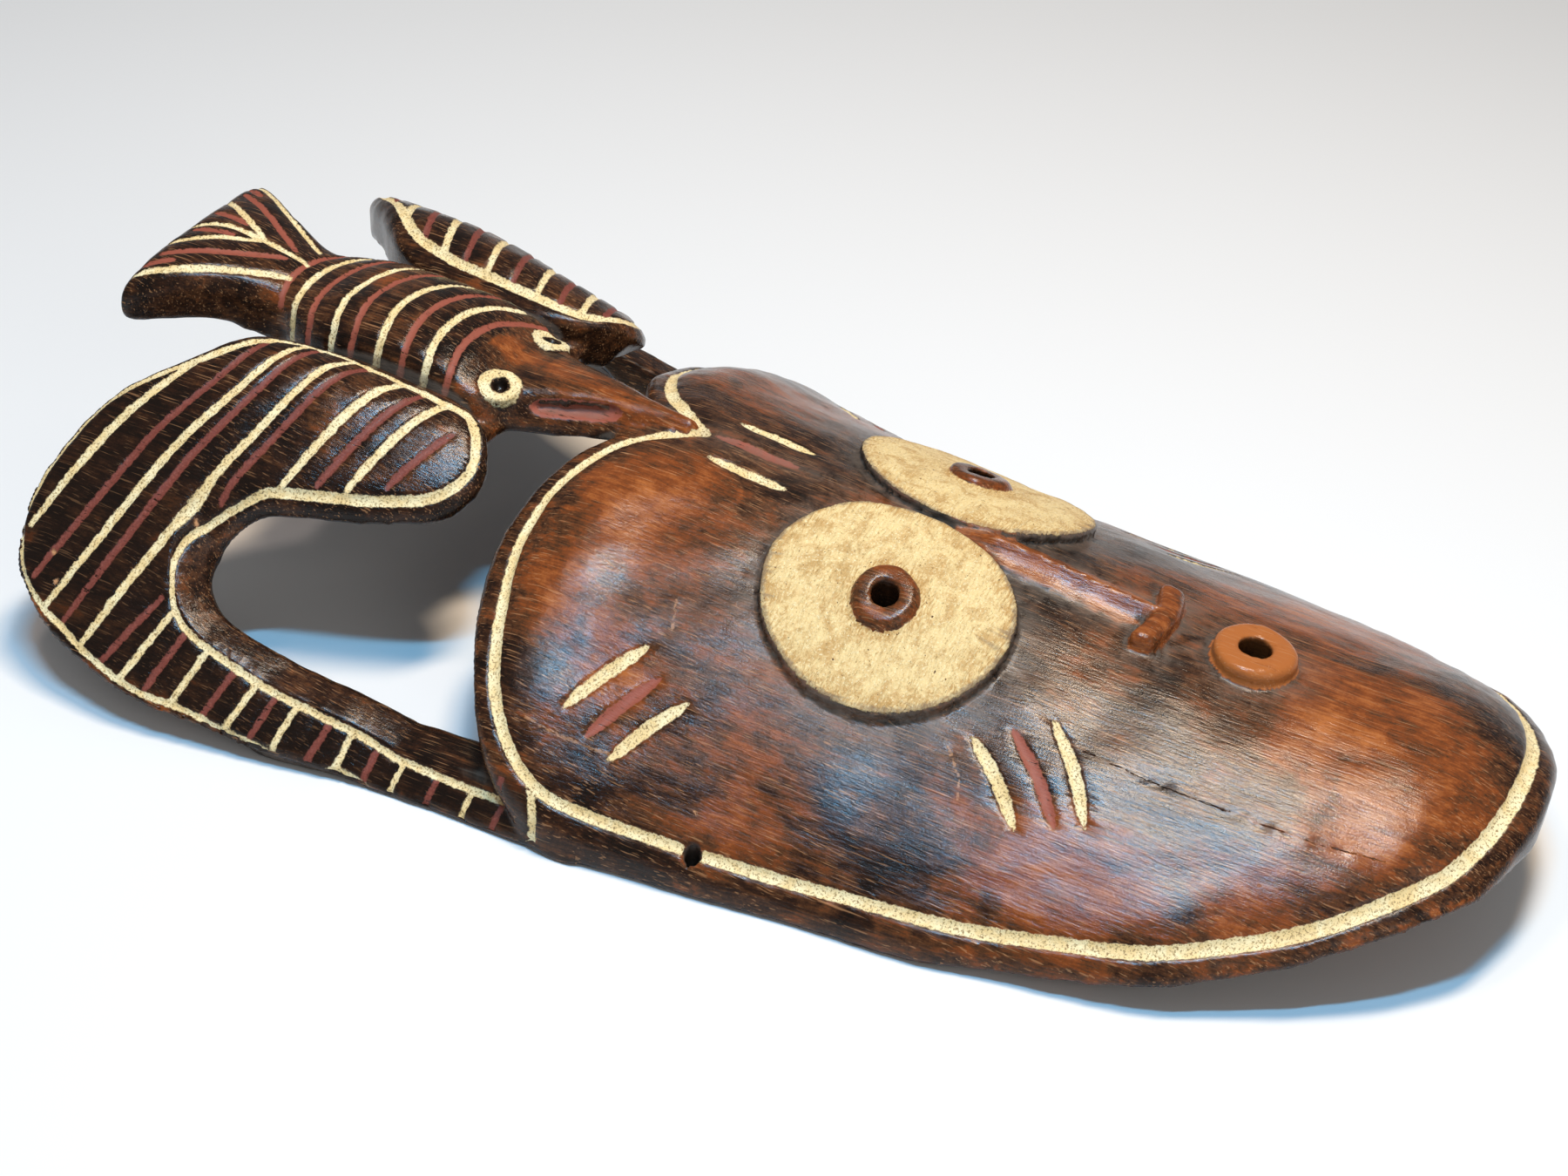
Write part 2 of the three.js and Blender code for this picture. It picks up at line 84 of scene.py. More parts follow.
# Plain edge outside the line, along y.
FACE_BAND = [(-218, 8), (-200, 7.3), (-180, 5.5), (40, 5.5), (62, 7.5)]
FACE_SHOULDER = 2.5  # how far the dome is drawn down at the line, fading inwards
FACE_SHOULDER_FADE = 6
FACE_EDGE_ROUND = 3.6
FACE_BACK_ROUND = 1.2
FACE_WALL = 17  # wood between the front and the hollow back
HOLLOW_BLEND = 4.0  # where the hollow meets the flat land behind the rim, whose height along y is:
FACE_LAND = [
    (-227, 32), (-210, 29), (-191, 22.5), (-171, 15), (-143, 9), (-116, 4.5), (-90, 1.5), (-70, 0),
    (20, 0), (32, 4), (42, 12), (52, 22), (62, 35), (75, 46),
]

# Wings: crest height along y and the cross-section that falls to both sides of it, then the ribs from the
# tip round the hook and down the arm, each as x, y on the outer edge and x, y on the edge of the opening.
WING_CREST = [
    (78, 71), (88, 73.7), (104, 78.1), (120, 81.8), (136, 85.7), (154, 87.4), (170, 87.4), (190, 84.9),
    (228, 81.9),
]
WING_CREST_ROUNDNESS = [(90, 19.8), (140, 14.6), (200, 21.3)]
WING_CREST_AT = [(90, 37.1), (200, 53.2)]
WING_SLOPE = 1.06
WING_RIBS = [
    (41, 89.8, 45.5, 86.8), (37.2, 93, 50.5, 86.2), (33.6, 98, 55.8, 88), (30.6, 103, 60, 90.8),
    (28.4, 109.5, 64, 95.5), (27, 117, 67, 101), (26.7, 125, 70, 107.5), (26.8, 134, 72.8, 114.5),
    (27.6, 144, 75.5, 121.5), (29.5, 154, 78, 128.5), (33.5, 164.5, 80.5, 135), (41, 174, 83, 141),
    (50.5, 183, 86, 146.2), (61.5, 193.5, 89, 149.8), (74.5, 203.8, 92.2, 151.8), (89, 210.4, 95.2, 151.8),
    (103, 211.6, 98, 150), (114.8, 208, 100.3, 147), (122.6, 199.3, 101.8, 143), (127.4, 187.5, 102.6, 138),
    (130, 174, 102.8, 132), (131.1, 160, 102.6, 126), (130.1, 146.5, 102, 118.5), (127.8, 132, 101.3, 110),
    (125.5, 116, 100.5, 101), (122.6, 99.5, 99.6, 90), (120.1, 84, 98.9, 77), (119.2, 68, 98.4, 63),
    (118.9, 50, 98.3, 48), (118.9, 33, 98.3, 33), (118.4, 16, 98.5, 16),
]
ARM_ACROSS, ARM_ALONG = (85, 12), (140, 30)
# Thickness in the middle, then at the edge beside the body, at the outer edge and at the opening.
WING_WALL, WING_EDGE_BODY, WING_EDGE_OUTER, WING_EDGE_OPENING = 17.5, 17.5, 2.5, 8
THINS_ACROSS = (64, 38)
THINS_TO_OUTER = (14, 5)  # width over which a wing, and an arm, thins to its outer edge
THINS_TO_OPENING = 12
BEVEL_REACH, BEVEL_SLOPE, BEVEL_ACROSS = 11.5, 0.85, (80, 12)
# Roundings of the edges, each beside the body and further out, or on the wing and on the arm.
OUTER_TOP_ROUND, OUTER_TOP_ACROSS = (2.6, 1.6), (85, 30)
OPENING_TOP_ROUND, OPENING_TOP_ACROSS = (4.5, 2.2), (75, 20)
OUTER_UNDER_ROUND, OUTER_UNDER_ACROSS = (3.0, 0.8), (85, 20)
OPENING_UNDER_ROUND = (3.5, 1.5)
REAR_ROUND, REAR_ALONG, REAR_ACROSS = 4.4, (165, 20), (106, 20)  # added on the rear edge

# Bird: height, half width and crown of its upper side, half width and height of its underside, along y.
BIRD_TOP = [
    (32.6, 73.6), (40.2, 75.1), (52.9, 76.5), (65, 77.8), (74.1, 78.4), (86.1, 78.4), (95.1, 78.1),
    (102.2, 78.3), (107.4, 80.6), (113.7, 84.1), (122.9, 87.2), (140.2, 89.3), (159.2, 89),
    (174.1, 87.5), (180.2, 87.9), (191.5, 90.8), (203.7, 93.3), (210.7, 93.7), (218.6, 92.6), (225, 90),
]
BIRD_WIDTH = [
    (32.6, 1.2), (40, 1.8), (53, 4.5), (65, 7.4), (78, 10.5), (90, 14.5), (97, 18.5), (102, 23),
    (107, 25.5), (118, 25.2), (140, 25), (158.6, 24.5), (171.5, 22), (178.7, 17.5), (184.9, 18),
    (194, 22), (204.2, 27.5), (214.2, 34.5), (223, 41), (225, 41.8),
]
BIRD_CROWN = [
    (32.6, 1.5), (53, 2.5), (65, 3.2), (90, 4.5), (100, 4.5), (107, 6), (115, 8.5), (160, 8.5),
    (172, 7.5), (182, 5.5), (203, 5.5), (225, 8),
]
BIRD_UNDER_WIDTH = [
    (32.6, 5), (53, 9), (65, 11.5), (78, 14.5), (88, 17.5), (97, 20.5), (102, 24), (107, 26.5),
    (120, 26), (158, 25.5), (171.5, 22.5), (178.7, 18), (194, 22.5), (204.2, 28), (214.2, 35),
    (225, 43),
]
BIRD_UNDER = [
    (32.6, 64), (60, 65.5), (80, 64.5), (95, 64), (110, 64), (140, 66), (170, 68), (180, 71),
    (203.7, 77.8), (225, 79.5),
]
BIRD_UNDER_ARCH = [(32.6, 0), (170, 0), (185, 3), (203, 5.5), (225, 7.5)]
BIRD_FROM, BIRD_TO = 41, 224
BIRD_SHOULDER = 0.75  # share of the crown above the widest place
TAIL_ALONG = (186, 16)
# Roundings, on the body and on the tail.
BIRD_TOP_ROUND, BIRD_UNDER_ROUND, BIRD_END_ROUND = (3.6, 4.5), (2.5, 5.5), (3.0, 3.6)
BIRD_EYE = (15.8, 100.8, 76.9)
BIRD_EYE_FACES = (0.35, -0.12, 0.93)  # direction in which the ring of the eye faces
BIRD_EYE_RADIUS, BIRD_EYE_RAISED, BIRD_EYE_SUNK, BIRD_EYE_ROUND = 6.3, 1.1, 4, 1.0
BIRD_EYE_PIT, BIRD_EYE_PIT_DEPTH = 2.3, 2  # radius and depth of the pit in its middle
BIRD_EYE_FLARE = 0.5  # the pit widens by this share of the height
BIRD_EYE_WALL_LENGTH = 1.1  # length of its slanting wall, for a height of one
MOUTH_SLIT = ((14.9, 90, 72.4), (7.4, 64, 74.4))  # the bird's, on each side of its beak
MOUTH_SLIT_HALF, MOUTH_SLIT_ROUND = 1.9, 0.5
MOUTH_SLIT_DEEPER = 0.6  # less than 1, as the slit is deeper than it is high
# The web between body and wing: its ends in y and u, how far it lies below the wing, and its underside.
WEB_FROM, WEB_TO, WEB_INNER, WEB_OUTER, WEB_BELOW, WEB_UNDER = 98, 173, 12, 34, 6.5, 62
WEB_MIDDLE, WEB_ROUND = 28, 3.0

# Face details: centres in plan, then how far each stands out of the face, how deep its foot is sunk into
# it and how round its upper edge is.
DISC, DISC_HALF_WIDTH, DISC_HALF_LENGTH = (34.4, -38.5), 32.8, 37.8  # half width and half length
DISC_RAISED, DISC_SUNK, DISC_ROUND = 3.0, 5, 1.0
PUPIL, PUPIL_RADIUS, PUPIL_BORE = (36.4, -38.2), 9.9, 4.0
PUPIL_RAISED, PUPIL_SUNK, PUPIL_ROUND = 2.6, 2, 2.2  # raised above the disc
MOUTH, MOUTH_RADIUS, MOUTH_BORE = (0, -137.9), 12.3, 4.9
MOUTH_RAISED, MOUTH_SUNK, MOUTH_ROUND = 4.6, 3, 2.2
NOSE_FROM, NOSE_TO, NOSE_START, NOSE_HALF = -44, -111, 14, 7.4  # it rises to its full height over NOSE_START
NOSE_RAISED, NOSE_SUNK, NOSE_ROUND = 4.6, 3, 0.6
NOSE_FLANK_POWER, NOSE_FLANK_BEYOND = 1.5, 0.8  # its hollow flanks, and their slope outside NOSE_HALF
NOSE_BAR_Y, NOSE_BAR_REACH, NOSE_BAR_HALF = -111.3, 15.3, 3.1
NOSE_BAR_RAISED, NOSE_BAR_SUNK, NOSE_BAR_ROUND, NOSE_BAR_END_ROUND = 4.4, 3, 2.4, 3.0
NOSE_BAR_SWEEP = 0.2  # the nostrils are swept back towards the eyes
NOSE_BAR_WIDENS, NOSE_BAR_RISES = 0.07, 0.03  # outwards
CORD_HOLE, CORD_HOLE_RADIUS = (109.6, -17), 2.4
BORE_ROUND = 0.6
BOSS_STEEPNESS = np.sqrt(1.3)  # of the face where these stand, to turn heights into distances
STEEPEST = 3  # slope up to which heights are turned into distances
# Parts that carry their own marks and wear, the small ones standing on the large ones, and the fillet where
# each joins the wood, in the order of joining.
LARGE_PARTS = ("face", "wing", "bird")
SMALL_PARTS = ("nose", "bar", "mouth", "pupil", "eye")
FILLETS = {
    "wing": 2.5, "web": 2.0, "bird": 2.2, "disc": 0.7, "pupil": 0.3, "mouth": 0.8, "nose": 1.6, "bar": 1.0,
    "eye": 0.8,
}
SKEW = 0.07  # the tail and the wings beside it sit a little askew: y shifts by this share of x
SKEW_ALONG, SKEW_ACROSS = (130, 50), (85, 30)
TAIL_REACH, TAIL_REACH_ALONG = 3, (195, 28)  # the tail's left corner reaches this much further
MOAT_DEPTH = 1.1  # the face is hollowed a little round each eye disc, fading over MOAT_FADE
MOAT_FADE = 9
CREAM_CUT, RED_CUT = 0.75, 0.55  # depth of the incised lines
CHIP_DEPTH = 0.4
BROAD_LENGTH, BROAD_HEIGHT, FINE_LENGTH, FINE_HEIGHT = 30, 0.22, 9, 0.07  # bumps that the knife leaves
GOUGE_WIDTH, GOUGE_LENGTH, GOUGE_DEPTH = 8.5, 26, 0.45  # gouge marks in the back
FRONT = 0.15  # the front is where the surface faces upwards by more than this
FEELER = 3.5  # length over which hollows and edges are felt

# Painted lines, as points in plan on the right half: the outline of each wing's striped field, then the short
# line that closes it at the foot of the arm.
FIELD_OUTER = [
    (42.5, 93), (37.5, 97.5), (35.4, 101.5), (34.2, 107), (33.8, 113.5), (33.6, 133.5), (34.4, 146),
    (36.2, 154.5), (38.6, 162), (43.4, 168.5), (50.5, 175), (57, 181.2), (63.5, 188.8), (70.5, 195.5),
    (77.8, 201.6), (87, 206.5), (95, 209), (107.5, 210.5), (113, 208), (120, 202), (124, 193.5),
    (126, 184.5), (128.5, 175.5), (130, 163.5), (130, 154), (128.5, 143), (127, 129), (123.5, 102),
    (120.5, 88.5), (119.5, 60), (119.3, 43), (119, 29),
]
FIELD_INNER = [
    (42.5, 93), (48.4, 90), (53.2, 90.1), (58.3, 92.9), (62.7, 97.7), (66.3, 104.4), (70.3, 113.9),
    (73.8, 123.6), (77.5, 133.4), (80.3, 140.7), (84.1, 147.3), (88.4, 153.7), (93.4, 158.1),
    (97.9, 159.7), (102.7, 159.7), (106.9, 157.9), (110.7, 155.2), (113.5, 150.4), (114.7, 144.5),
    (115.1, 138.3), (115.1, 121.8), (113.7, 98.9), (112.7, 87.7), (113.3, 63.8), (113.5, 49.2),
    (113.1, 33.2),
]
FIELD_END, FIELD_END_HALF = [(119.5, 28), (113, 33.2)], 1.1
WING_LINE_HALF, WING_LINE_ACROSS = (1.75, 1.15), (70, 40)  # half width of the outline
# The near, left wing's outline lies nearer to its crest beside the body, by NEAR_LINE_SHIFT.
NEAR_LINE_SHIFT, NEAR_LINE_ACROSS, NEAR_LINE_ALONG = 2.6, (66, 22), (98, 12)
STRIPE_HALF = {"red": 1.15, "cream": 1.25}
# Stripes of the near wing, from the body to the outer edge, red and cream in turn.
NEAR_STRIPES = [
    [(45.5, 99.5), (65.5, 109.5)], [(34.5, 105.5), (70.5, 120)], [(35.5, 113), (73.5, 128.5)],
    [(31, 119), (77.5, 138)], [(29.5, 129), (86, 154)], [(30, 135.5), (128, 177)],
    [(31.5, 146.5), (125.5, 185)], [(33.5, 151.5), (123.5, 192)], [(38, 162), (119, 199)],
    [(47, 177.5), (109, 207)],
]
# Those of the far wing, as y beside the body; they bend towards the tail, through the u in FAR_STRIPE_AT.
FAR_STRIPES = [93.5, 100.5, 108.5, 116.5, 125.5, 134.8, 143.2, 151, 158.5, 166.7, 175]
FAR_STRIPE_AT = (31, 45, 60, 80, 104, 129)
FAR_STRIPE_SLOPE, FAR_STRIPE_BEND = 0.17, 0.0032
# Outside HOOK_FROM, the far stripes stay above a slanting line and the arm's bars begin.
HOOK_FROM, HOOK_Y, HOOK_SLANT = 104, 162, 0.55
SOOT_ACROSS = (55, 45)  # the striped field darkens outwards
# Bars across the arm: y on the inner and on the outer line, red and cream in turn.
ARM_BARS = [
    (159.9, 169.1), (154.5, 161.2), (147.8, 153.4), (139.7, 145), (129.8, 135.3), (122.7, 127.9),
    (116.4, 120.2), (109.8, 113), (98.9, 103), (92.7, 93.6), (84.1, 85.3), (75.4, 76.5), (63.2, 65.9),
    (51.7, 53.8), (41.2, 44.3),
]
ARM_BAR_FROM, ARM_BAR_TO, ARM_BAR_HALF = 111, 131, 0.95
# Arcs across the bird's body, as the y of each, cream and red in turn, and a red one behind them.
BODY_STRIPES = [175.5, 168.3, 158.8, 151, 141, 132.3, 124.2, 116.5]
BODY_STRIPE_REACH = {"cream": 27, "red": 26}
BODY_STRIPE_BEND, BODY_STRIPE_AXIS, BODY_STRIPE_BENDS_TO = 0.011, -9, 22
NECK_STRIPE, NECK_STRIPE_HALF, NECK_STRIPE_REACH = 181.3, 1.0, 17
# Lines of the tail, the same on both sides but for the middle one.
TAIL_CREAM_HALF, TAIL_RED_HALF = 1.2, 1.3
TAIL_CREAM = [
    [(9, 181.5), (19, 198), (28.5, 212), (34.5, 222)],
    [(1, 197.5), (9, 210.5), (17.5, 222.5)],
]
TAIL_MIDDLE = [(0, 180.5), (0, 206), (-1, 214), (-4.5, 221.5)]
TAIL_RED = [
    [(3, 187), (8, 194.5), (16.5, 207.5), (23.5, 219)], [(4, 206), (6.5, 219)],
    [(25, 214), (29.5, 221)],
]
# Cream ring of the bird's eye: radius, half width, and height over which it is seen.
EYE_PAINT, EYE_PAINT_HALF, EYE_PAINT_HEIGHT = 4.8, 1.8, 2.5
EYE_DARK, EYE_DARK_HEIGHT = 2.2, 3  # the pit inside it, painted black as painted shade
MOUTH_SLIT_PAINT = 1.0  # red paint beside the slit
HEAD_TO = 112  # the bird's head and beak end here
BEAK_TIP_Y = 43  # the tip of the beak carries the cream of the face's line below it
# Marks on the forehead and cheeks.
FACE_MARK_HALF = {"cream": 1.75, "red": 1.7}
FACE_CREAM = [
    [(11, 31.8), (10.9, 6)], [(95, 32.7), (83, 26), (72.1, 18.3)], [(100.6, 15), (90, 8.3), (80.6, 0.7)],
    [(59.2, -76.8), (67, -88), (76.2, -97.6)], [(46.4, -95.7), (57, -106.5), (69.2, -115.2)],
]
FACE_RED = [
    [(0, 34.7), (0, 6.7)], [(98.2, 23.7), (88, 17.8), (77.6, 11)],
    [(53.4, -86.5), (62, -97.8), (72, -107.5)],
]
FAR_CHEEK_SHIFT = 10  # the far cheek's marks are this much further out, where the photo doesn't show them
CHEEK_BELOW = -50  # y
ARM_FOOT = (114.3, 26.5)  # further out and up than this, the rim is painted as part of the arm
FAR_OFF = 9.0  # distance to paint that isn't on this part
# Half width of the line round the face, along y.
LINE_HALF = [
    (-218, 2.3), (-170, 2.2), (-120, 2.0), (-60, 1.8), (0, 1.7), (40, 1.9), (55, 2.1), (70, 1.7),
]

# Marks of wear, nearly all on the near, left side (x below 0), where the photo shows them.
CRACKS = [[(-50.8, -105.6), (-51.5, -129.1), (-50.9, -169.2), (-47.6, -192.7)]]
SCRATCHES = [
    [(-101.8, 41.2), (-101, 30), (-99.3, 15.7)], [(-58, 17), (-66, 14)],
    [(-62, -70), (-70, -78), (-75, -80)],
]
CHIPS = [  # x, y, radius
    (-107, 1, 0.7), (-102, -14, 0.8), (-74, -135, 0.9), (-73, -152, 0.8), (-66, -153, 0.8),
    (-65, -164, 1.0), (-80, -86, 0.6), (-58, -119, 0.5), (-118, 192, 0.8), (-113, 196, 0.7),
    (-102, 196, 0.6), (-92, 159, 0.6), (-60, 8, 0.4), (-88, -50, 0.5), (-35, -205, 0.6), (22, -90, 0.5),
    (-8, 128, 0.6), (-13, 150, 0.5),
]
# Worn places where the reddish wood shows: x, y, radius, strength.
WORN = [
    (-44, 47, 22, 0.8), (-22, 30, 24, 0.7), (-71, 52, 14, 0.8), (-80, 24, 20, 0.7), (-92, -30, 22, 0.7),
    (-62, -15, 18, 0.4), (-30, -100, 20, 0.4), (-10, -165, 34, 0.9), (-16, -196, 22, 0.9),
    (44, -137, 30, 0.8), (-84, -98, 18, 0.7), (-82, -124, 20, 0.8), (-72, -165, 18, 0.7),
    (-40, -186, 12, 1.0), (14, -105, 18, 0.6), (40, 40, 26, 0.6), (70, 20, 30, 0.6), (86, -60, 30, 0.5),
    (60, -170, 26, 0.6), (0, -20, 14, 0.5),
]

# Wear of the small parts, where 1 is well worn.
PART_WEAR = {"mouth": 1.9, "bar": 0.8, "pupil": 0.6}
NOSE_WEAR = 1.1
HEAD_WEAR, BEAK_WEAR = 0.35, 0.5  # of the bird's head, and added along the ridge of the beak
DUST_FADE = 4.5  # dust round raised parts fades over this

STEP = 1.0  # grid spacing
HALF_WIDTH, Y_LOW, Y_HIGH, Z_LOW, Z_HIGH = 134, -230, 230, -3, 98  # extent of the grid
TRIANGLES = 186000  # of the finished mesh
PAINT_REACH, DISC_REACH, SCAR_REACH = 1.3, 1.5, 1.5  # the mesh stays dense this near to each kind of mark,
BENT = 0.93  # and where the field's slope over 2 mm to each side is less than this
SEED = 11  # of the carved surface's unevenness

# Colours, as linear red, green and blue.
BLACKENED_AND_SHADE = (0.010, 0.005, 0.003)
DARK_WOOD = (0.030, 0.011, 0.005)
BROWN_WOOD = (0.085, 0.032, 0.012)
RED_WOOD = (0.21, 0.052, 0.012)
ORANGE_WOOD = (0.42, 0.13, 0.032)
RAW_WOOD = (0.55, 0.27, 0.12)
CREAM = (0.84, 0.62, 0.29)
CREAM_PALE = (0.94, 0.80, 0.48)
CREAM_DIRTY = (0.36, 0.24, 0.10)
OCHRE = (0.52, 0.29, 0.09)
RED_PAINT = (0.19, 0.045, 0.030)
RED_PAINT_PALE = (0.27, 0.075, 0.050)
RED_PAINT_BRIGHT = (0.36, 0.095, 0.055)
DUST = (0.17, 0.13, 0.10)
WOOD_STOPS = [(0.42, BLACKENED_AND_SHADE), (0.51, DARK_WOOD), (0.59, BROWN_WOOD), (0.70, RED_WOOD), (0.86, ORANGE_WOOD)]
HAIRLINES = ((0.45, 0.9), (-0.7, 1.1), (1.3, 0.8))  # turn and scale of each set of fine scratches


def smooth(t):
    """0 up to 0 and 1 from 1 on, with a smooth step between."""
    t = np.clip(t, 0, 1)
    return t * t * (3 - 2 * t)


def rising(value, start, length):
    """A smooth change from 0 to 1 that begins at start and takes some length."""
    return smooth((value - start) / length)


def falling(value, start, length):
    """A smooth change from 1 to 0 that ends at start and takes some length."""
    return smooth((start - value) / length)


def mix(a, b, t):
    """a where t is 0 and b where it is 1."""
    return a + (b - a) * t


def nearest_of(distances):
    """The smallest of several distances, at each point."""
    return np.minimum.reduce(list(distances))


def profile(stations, along):
    """A smooth value through stations given as (along, value)."""
    at, value = np.array(stations, float).T
    before = np.maximum(np.arange(len(at)) - 1, 0)
    after = np.minimum(np.arange(len(at)) + 1, len(at) - 1)
    slope = (value[after] - value[before]) / (at[after] - at[before])
    x = np.clip(along, at[0], at[-1])
    k = np.clip(np.searchsorted(at, x, side="right") - 1, 0, len(at) - 2)
    span = at[k + 1] - at[k]
    t = (x - at[k]) / span
    rise = mix(value[k], value[k + 1], t * t * (3 - 2 * t))
    return rise + span * t * (1 - t) * ((1 - t) * slope[k] - t * slope[k + 1])


def curve(points, per_span=5):
    """Points along a smooth curve through the given points."""
    points = np.array(points, float)
    chords = np.linalg.norm(np.diff(points, axis=0), axis=1)
    along = np.concatenate([[0], np.cumsum(np.sqrt(chords))])
    steps = np.linspace(0, len(points) - 1, (len(points) - 1) * per_span + 1)
    fine = np.interp(steps, np.arange(len(points)), along)
    return np.stack([profile(list(zip(along, column)), fine) for column in points.T], axis=1)


def line_distance(line, x, y):
    """Distance from points to a line of points, and how far along it the nearest place is, from 0 to 1."""
    line = np.array(line, float)
    lengths = np.linalg.norm(np.diff(line, axis=0), axis=1)
    starts = np.concatenate([[0], np.cumsum(lengths)])
    nearest = np.full(np.broadcast(x, y).shape, np.inf)
    along = np.zeros_like(nearest)
    for k, length in enumerate(lengths):
        dx, dy = line[k + 1] - line[k]
        t = np.clip(((x - line[k, 0]) * dx + (y - line[k, 1]) * dy) / length**2, 0, 1)
        d = np.hypot(x - line[k, 0] - t * dx, y - line[k, 1] - t * dy)
        closer = d < nearest
        nearest = np.where(closer, d, nearest)
        along = np.where(closer, (starts[k] + t * length) / starts[-1], along)
    return nearest, along


def lines_distance(lines, x, y):
    """Distance to the nearest of several lines."""
    return nearest_of(line_distance(line, x, y)[0] for line in lines)


def inside_outline(outline, x, y):
    """True where a point lies inside a closed outline."""
    inside = np.zeros(np.broadcast(x, y).shape, bool)
    for (ax, ay), (bx, by) in zip(outline, np.roll(outline, -1, axis=0)):
        if ay != by:
            crosses = (ay > y) != (by > y)
            inside ^= crosses & (x < ax + (bx - ax) * (y - ay) / (by - ay))
    return inside


def circle_distance(centre, radius, u, y):
    """Distance in plan to a circle, negative inside it."""
    return np.hypot(u - centre[0], y - centre[1]) - radius


def disc_distance(u, y):
    """Distance in plan to the rim of an eye disc, negative inside it."""
    away = np.hypot((u - DISC[0]) / DISC_HALF_WIDTH, (y - DISC[1]) / DISC_HALF_LENGTH)
    return DISC_HALF_WIDTH * (away - 1)


def bore_distance(u, y):
    """Distance in plan to the bores of pupil, mouth and cord hole, negative inside them."""
    bores = ((PUPIL, PUPIL_BORE), (MOUTH, MOUTH_BORE), (CORD_HOLE, CORD_HOLE_RADIUS))
    return nearest_of(circle_distance(centre, radius, u, y) for centre, radius in bores)


def round_max(a, b, radius):
    """What two fields have in common, with the edge between them rounded."""
    outside = np.hypot(np.maximum(a + radius, 0), np.maximum(b + radius, 0))
    return np.minimum(np.maximum(a, b), -radius) + outside


def round_min(a, b, radius):
    """Two fields joined, with a fillet in the corner between them."""
    corner = np.hypot(np.maximum(radius - a, 0), np.maximum(radius - b, 0))
    return np.maximum(np.minimum(a, b), radius) - corner


def larger(a, b, radius):
    """The larger of two heights, with a smooth change from one to the other."""
    near = np.maximum(radius - np.abs(a - b), 0) / radius
    return np.maximum(a, b) + near**2 * radius / 4


face_line = curve(FACE_LINE)
wing_outer = curve([(rib[0], rib[1]) for rib in WING_RIBS])
wing_opening = curve([(rib[2], rib[3]) for rib in WING_RIBS])
wing_outline = np.concatenate([wing_outer, wing_opening[::-1]])
field_edges = [curve(FIELD_OUTER, 3), curve(FIELD_INNER, 3)]
field_outline = np.concatenate([field_edges[0], field_edges[1][::-1]])


def dome(u, y):
    """Height of the face's front."""
    round_over = profile(FACE_ROUNDNESS, y)
    return profile(FACE_RIDGE, y) - (np.hypot(round_over, profile(FACE_SIDE_SLOPE, y) * u) - round_over)


def roof(u, y):
    """Upper surface of a wing, before its bevel."""
    round_over = profile(WING_CREST_ROUNDNESS, y)
    fall = np.hypot(round_over, u - profile(WING_CREST_AT, y)) - round_over
    return profile(WING_CREST, y) - WING_SLOPE * fall


def steepness(height):
    """How much longer a height field's surface is than its plan, to turn heights into distances."""
    along_x, along_y = np.gradient(height, STEP)
    return np.sqrt(1 + np.minimum(along_x**2 + along_y**2, STEEPEST**2))


def between(top, under, z):
    """Distances below a top surface and above an under surface, negative in the wood."""
    above = (z - top[:, :, None]) / steepness(top)[:, :, None]
    below = (under[:, :, None] - z) / steepness(under)[:, :, None]
    return above, below


def face_field(u, y, z):
    """The face: a dome with a raised edge band, hollow behind."""
    from_line, _ = line_distance(face_line, u, y)
    from_line = np.where(inside_outline(face_line, u, y), from_line, -from_line)
    top = dome(u, y) - FACE_SHOULDER * np.exp(-np.maximum(from_line, 0) / FACE_SHOULDER_FADE)
    land = np.maximum(profile(FACE_LAND, y), 0)
    under = larger(land, dome(u, y) - FACE_WALL, HOLLOW_BLEND)
    above, below = between(top, under, z)
    side = -(from_line + profile(FACE_BAND, y))[:, :, None]
    return round_max(round_max(above, side, FACE_EDGE_ROUND), below, FACE_BACK_ROUND)


def wing_field(u, y, z):
    """A wing: a roof that falls to both sides of its crest, with a flat, bevelled arm."""
    from_outer, _ = line_distance(wing_outer, u, y)
    from_opening, _ = line_distance(wing_opening, u, y)
    from_ends = lines_distance([[wing_outer[k], wing_opening[k]] for k in (0, -1)], u, y)
    nearest = nearest_of([from_outer, from_opening, from_ends])
    side = np.where(inside_outline(wing_outline, u, y), -nearest, nearest)[:, :, None]

    bevel = BEVEL_SLOPE * np.maximum(BEVEL_REACH - from_opening, 0) * rising(u, *BEVEL_ACROSS)
    top = roof(u, y) - bevel
    arm = rising(u, *ARM_ACROSS) * falling(y, *ARM_ALONG)
    outer_edge = mix(WING_EDGE_BODY, WING_EDGE_OUTER, rising(u, *THINS_ACROSS))
    opening_edge = mix(WING_EDGE_OPENING, WING_WALL, arm)
    thick = np.minimum(
        mix(outer_edge, WING_WALL, smooth(from_outer / mix(*THINS_TO_OUTER, arm))),
        mix(opening_edge, WING_WALL, smooth(from_opening / THINS_TO_OPENING)),
    )
    above, below = between(top, np.maximum(0, top - thick), z)

    outer_top = mix(*OUTER_TOP_ROUND, rising(u, *OUTER_TOP_ACROSS))
    outer_top = outer_top + REAR_ROUND * rising(y, *REAR_ALONG) * falling(u, *REAR_ACROSS)
    opening_top = mix(*OPENING_TOP_ROUND, rising(u, *OPENING_TOP_ACROSS))
    outer_under = mix(*OUTER_UNDER_ROUND, rising(u, *OUTER_UNDER_ACROSS))
    opening_under = mix(*OPENING_UNDER_ROUND, arm)
    outside = from_outer < from_opening
    top_round = np.where(outside, outer_top, opening_top)[:, :, None]
    under_round = np.where(outside, outer_under, opening_under)[:, :, None]
    return round_max(round_max(above, side, top_round), below, under_round)


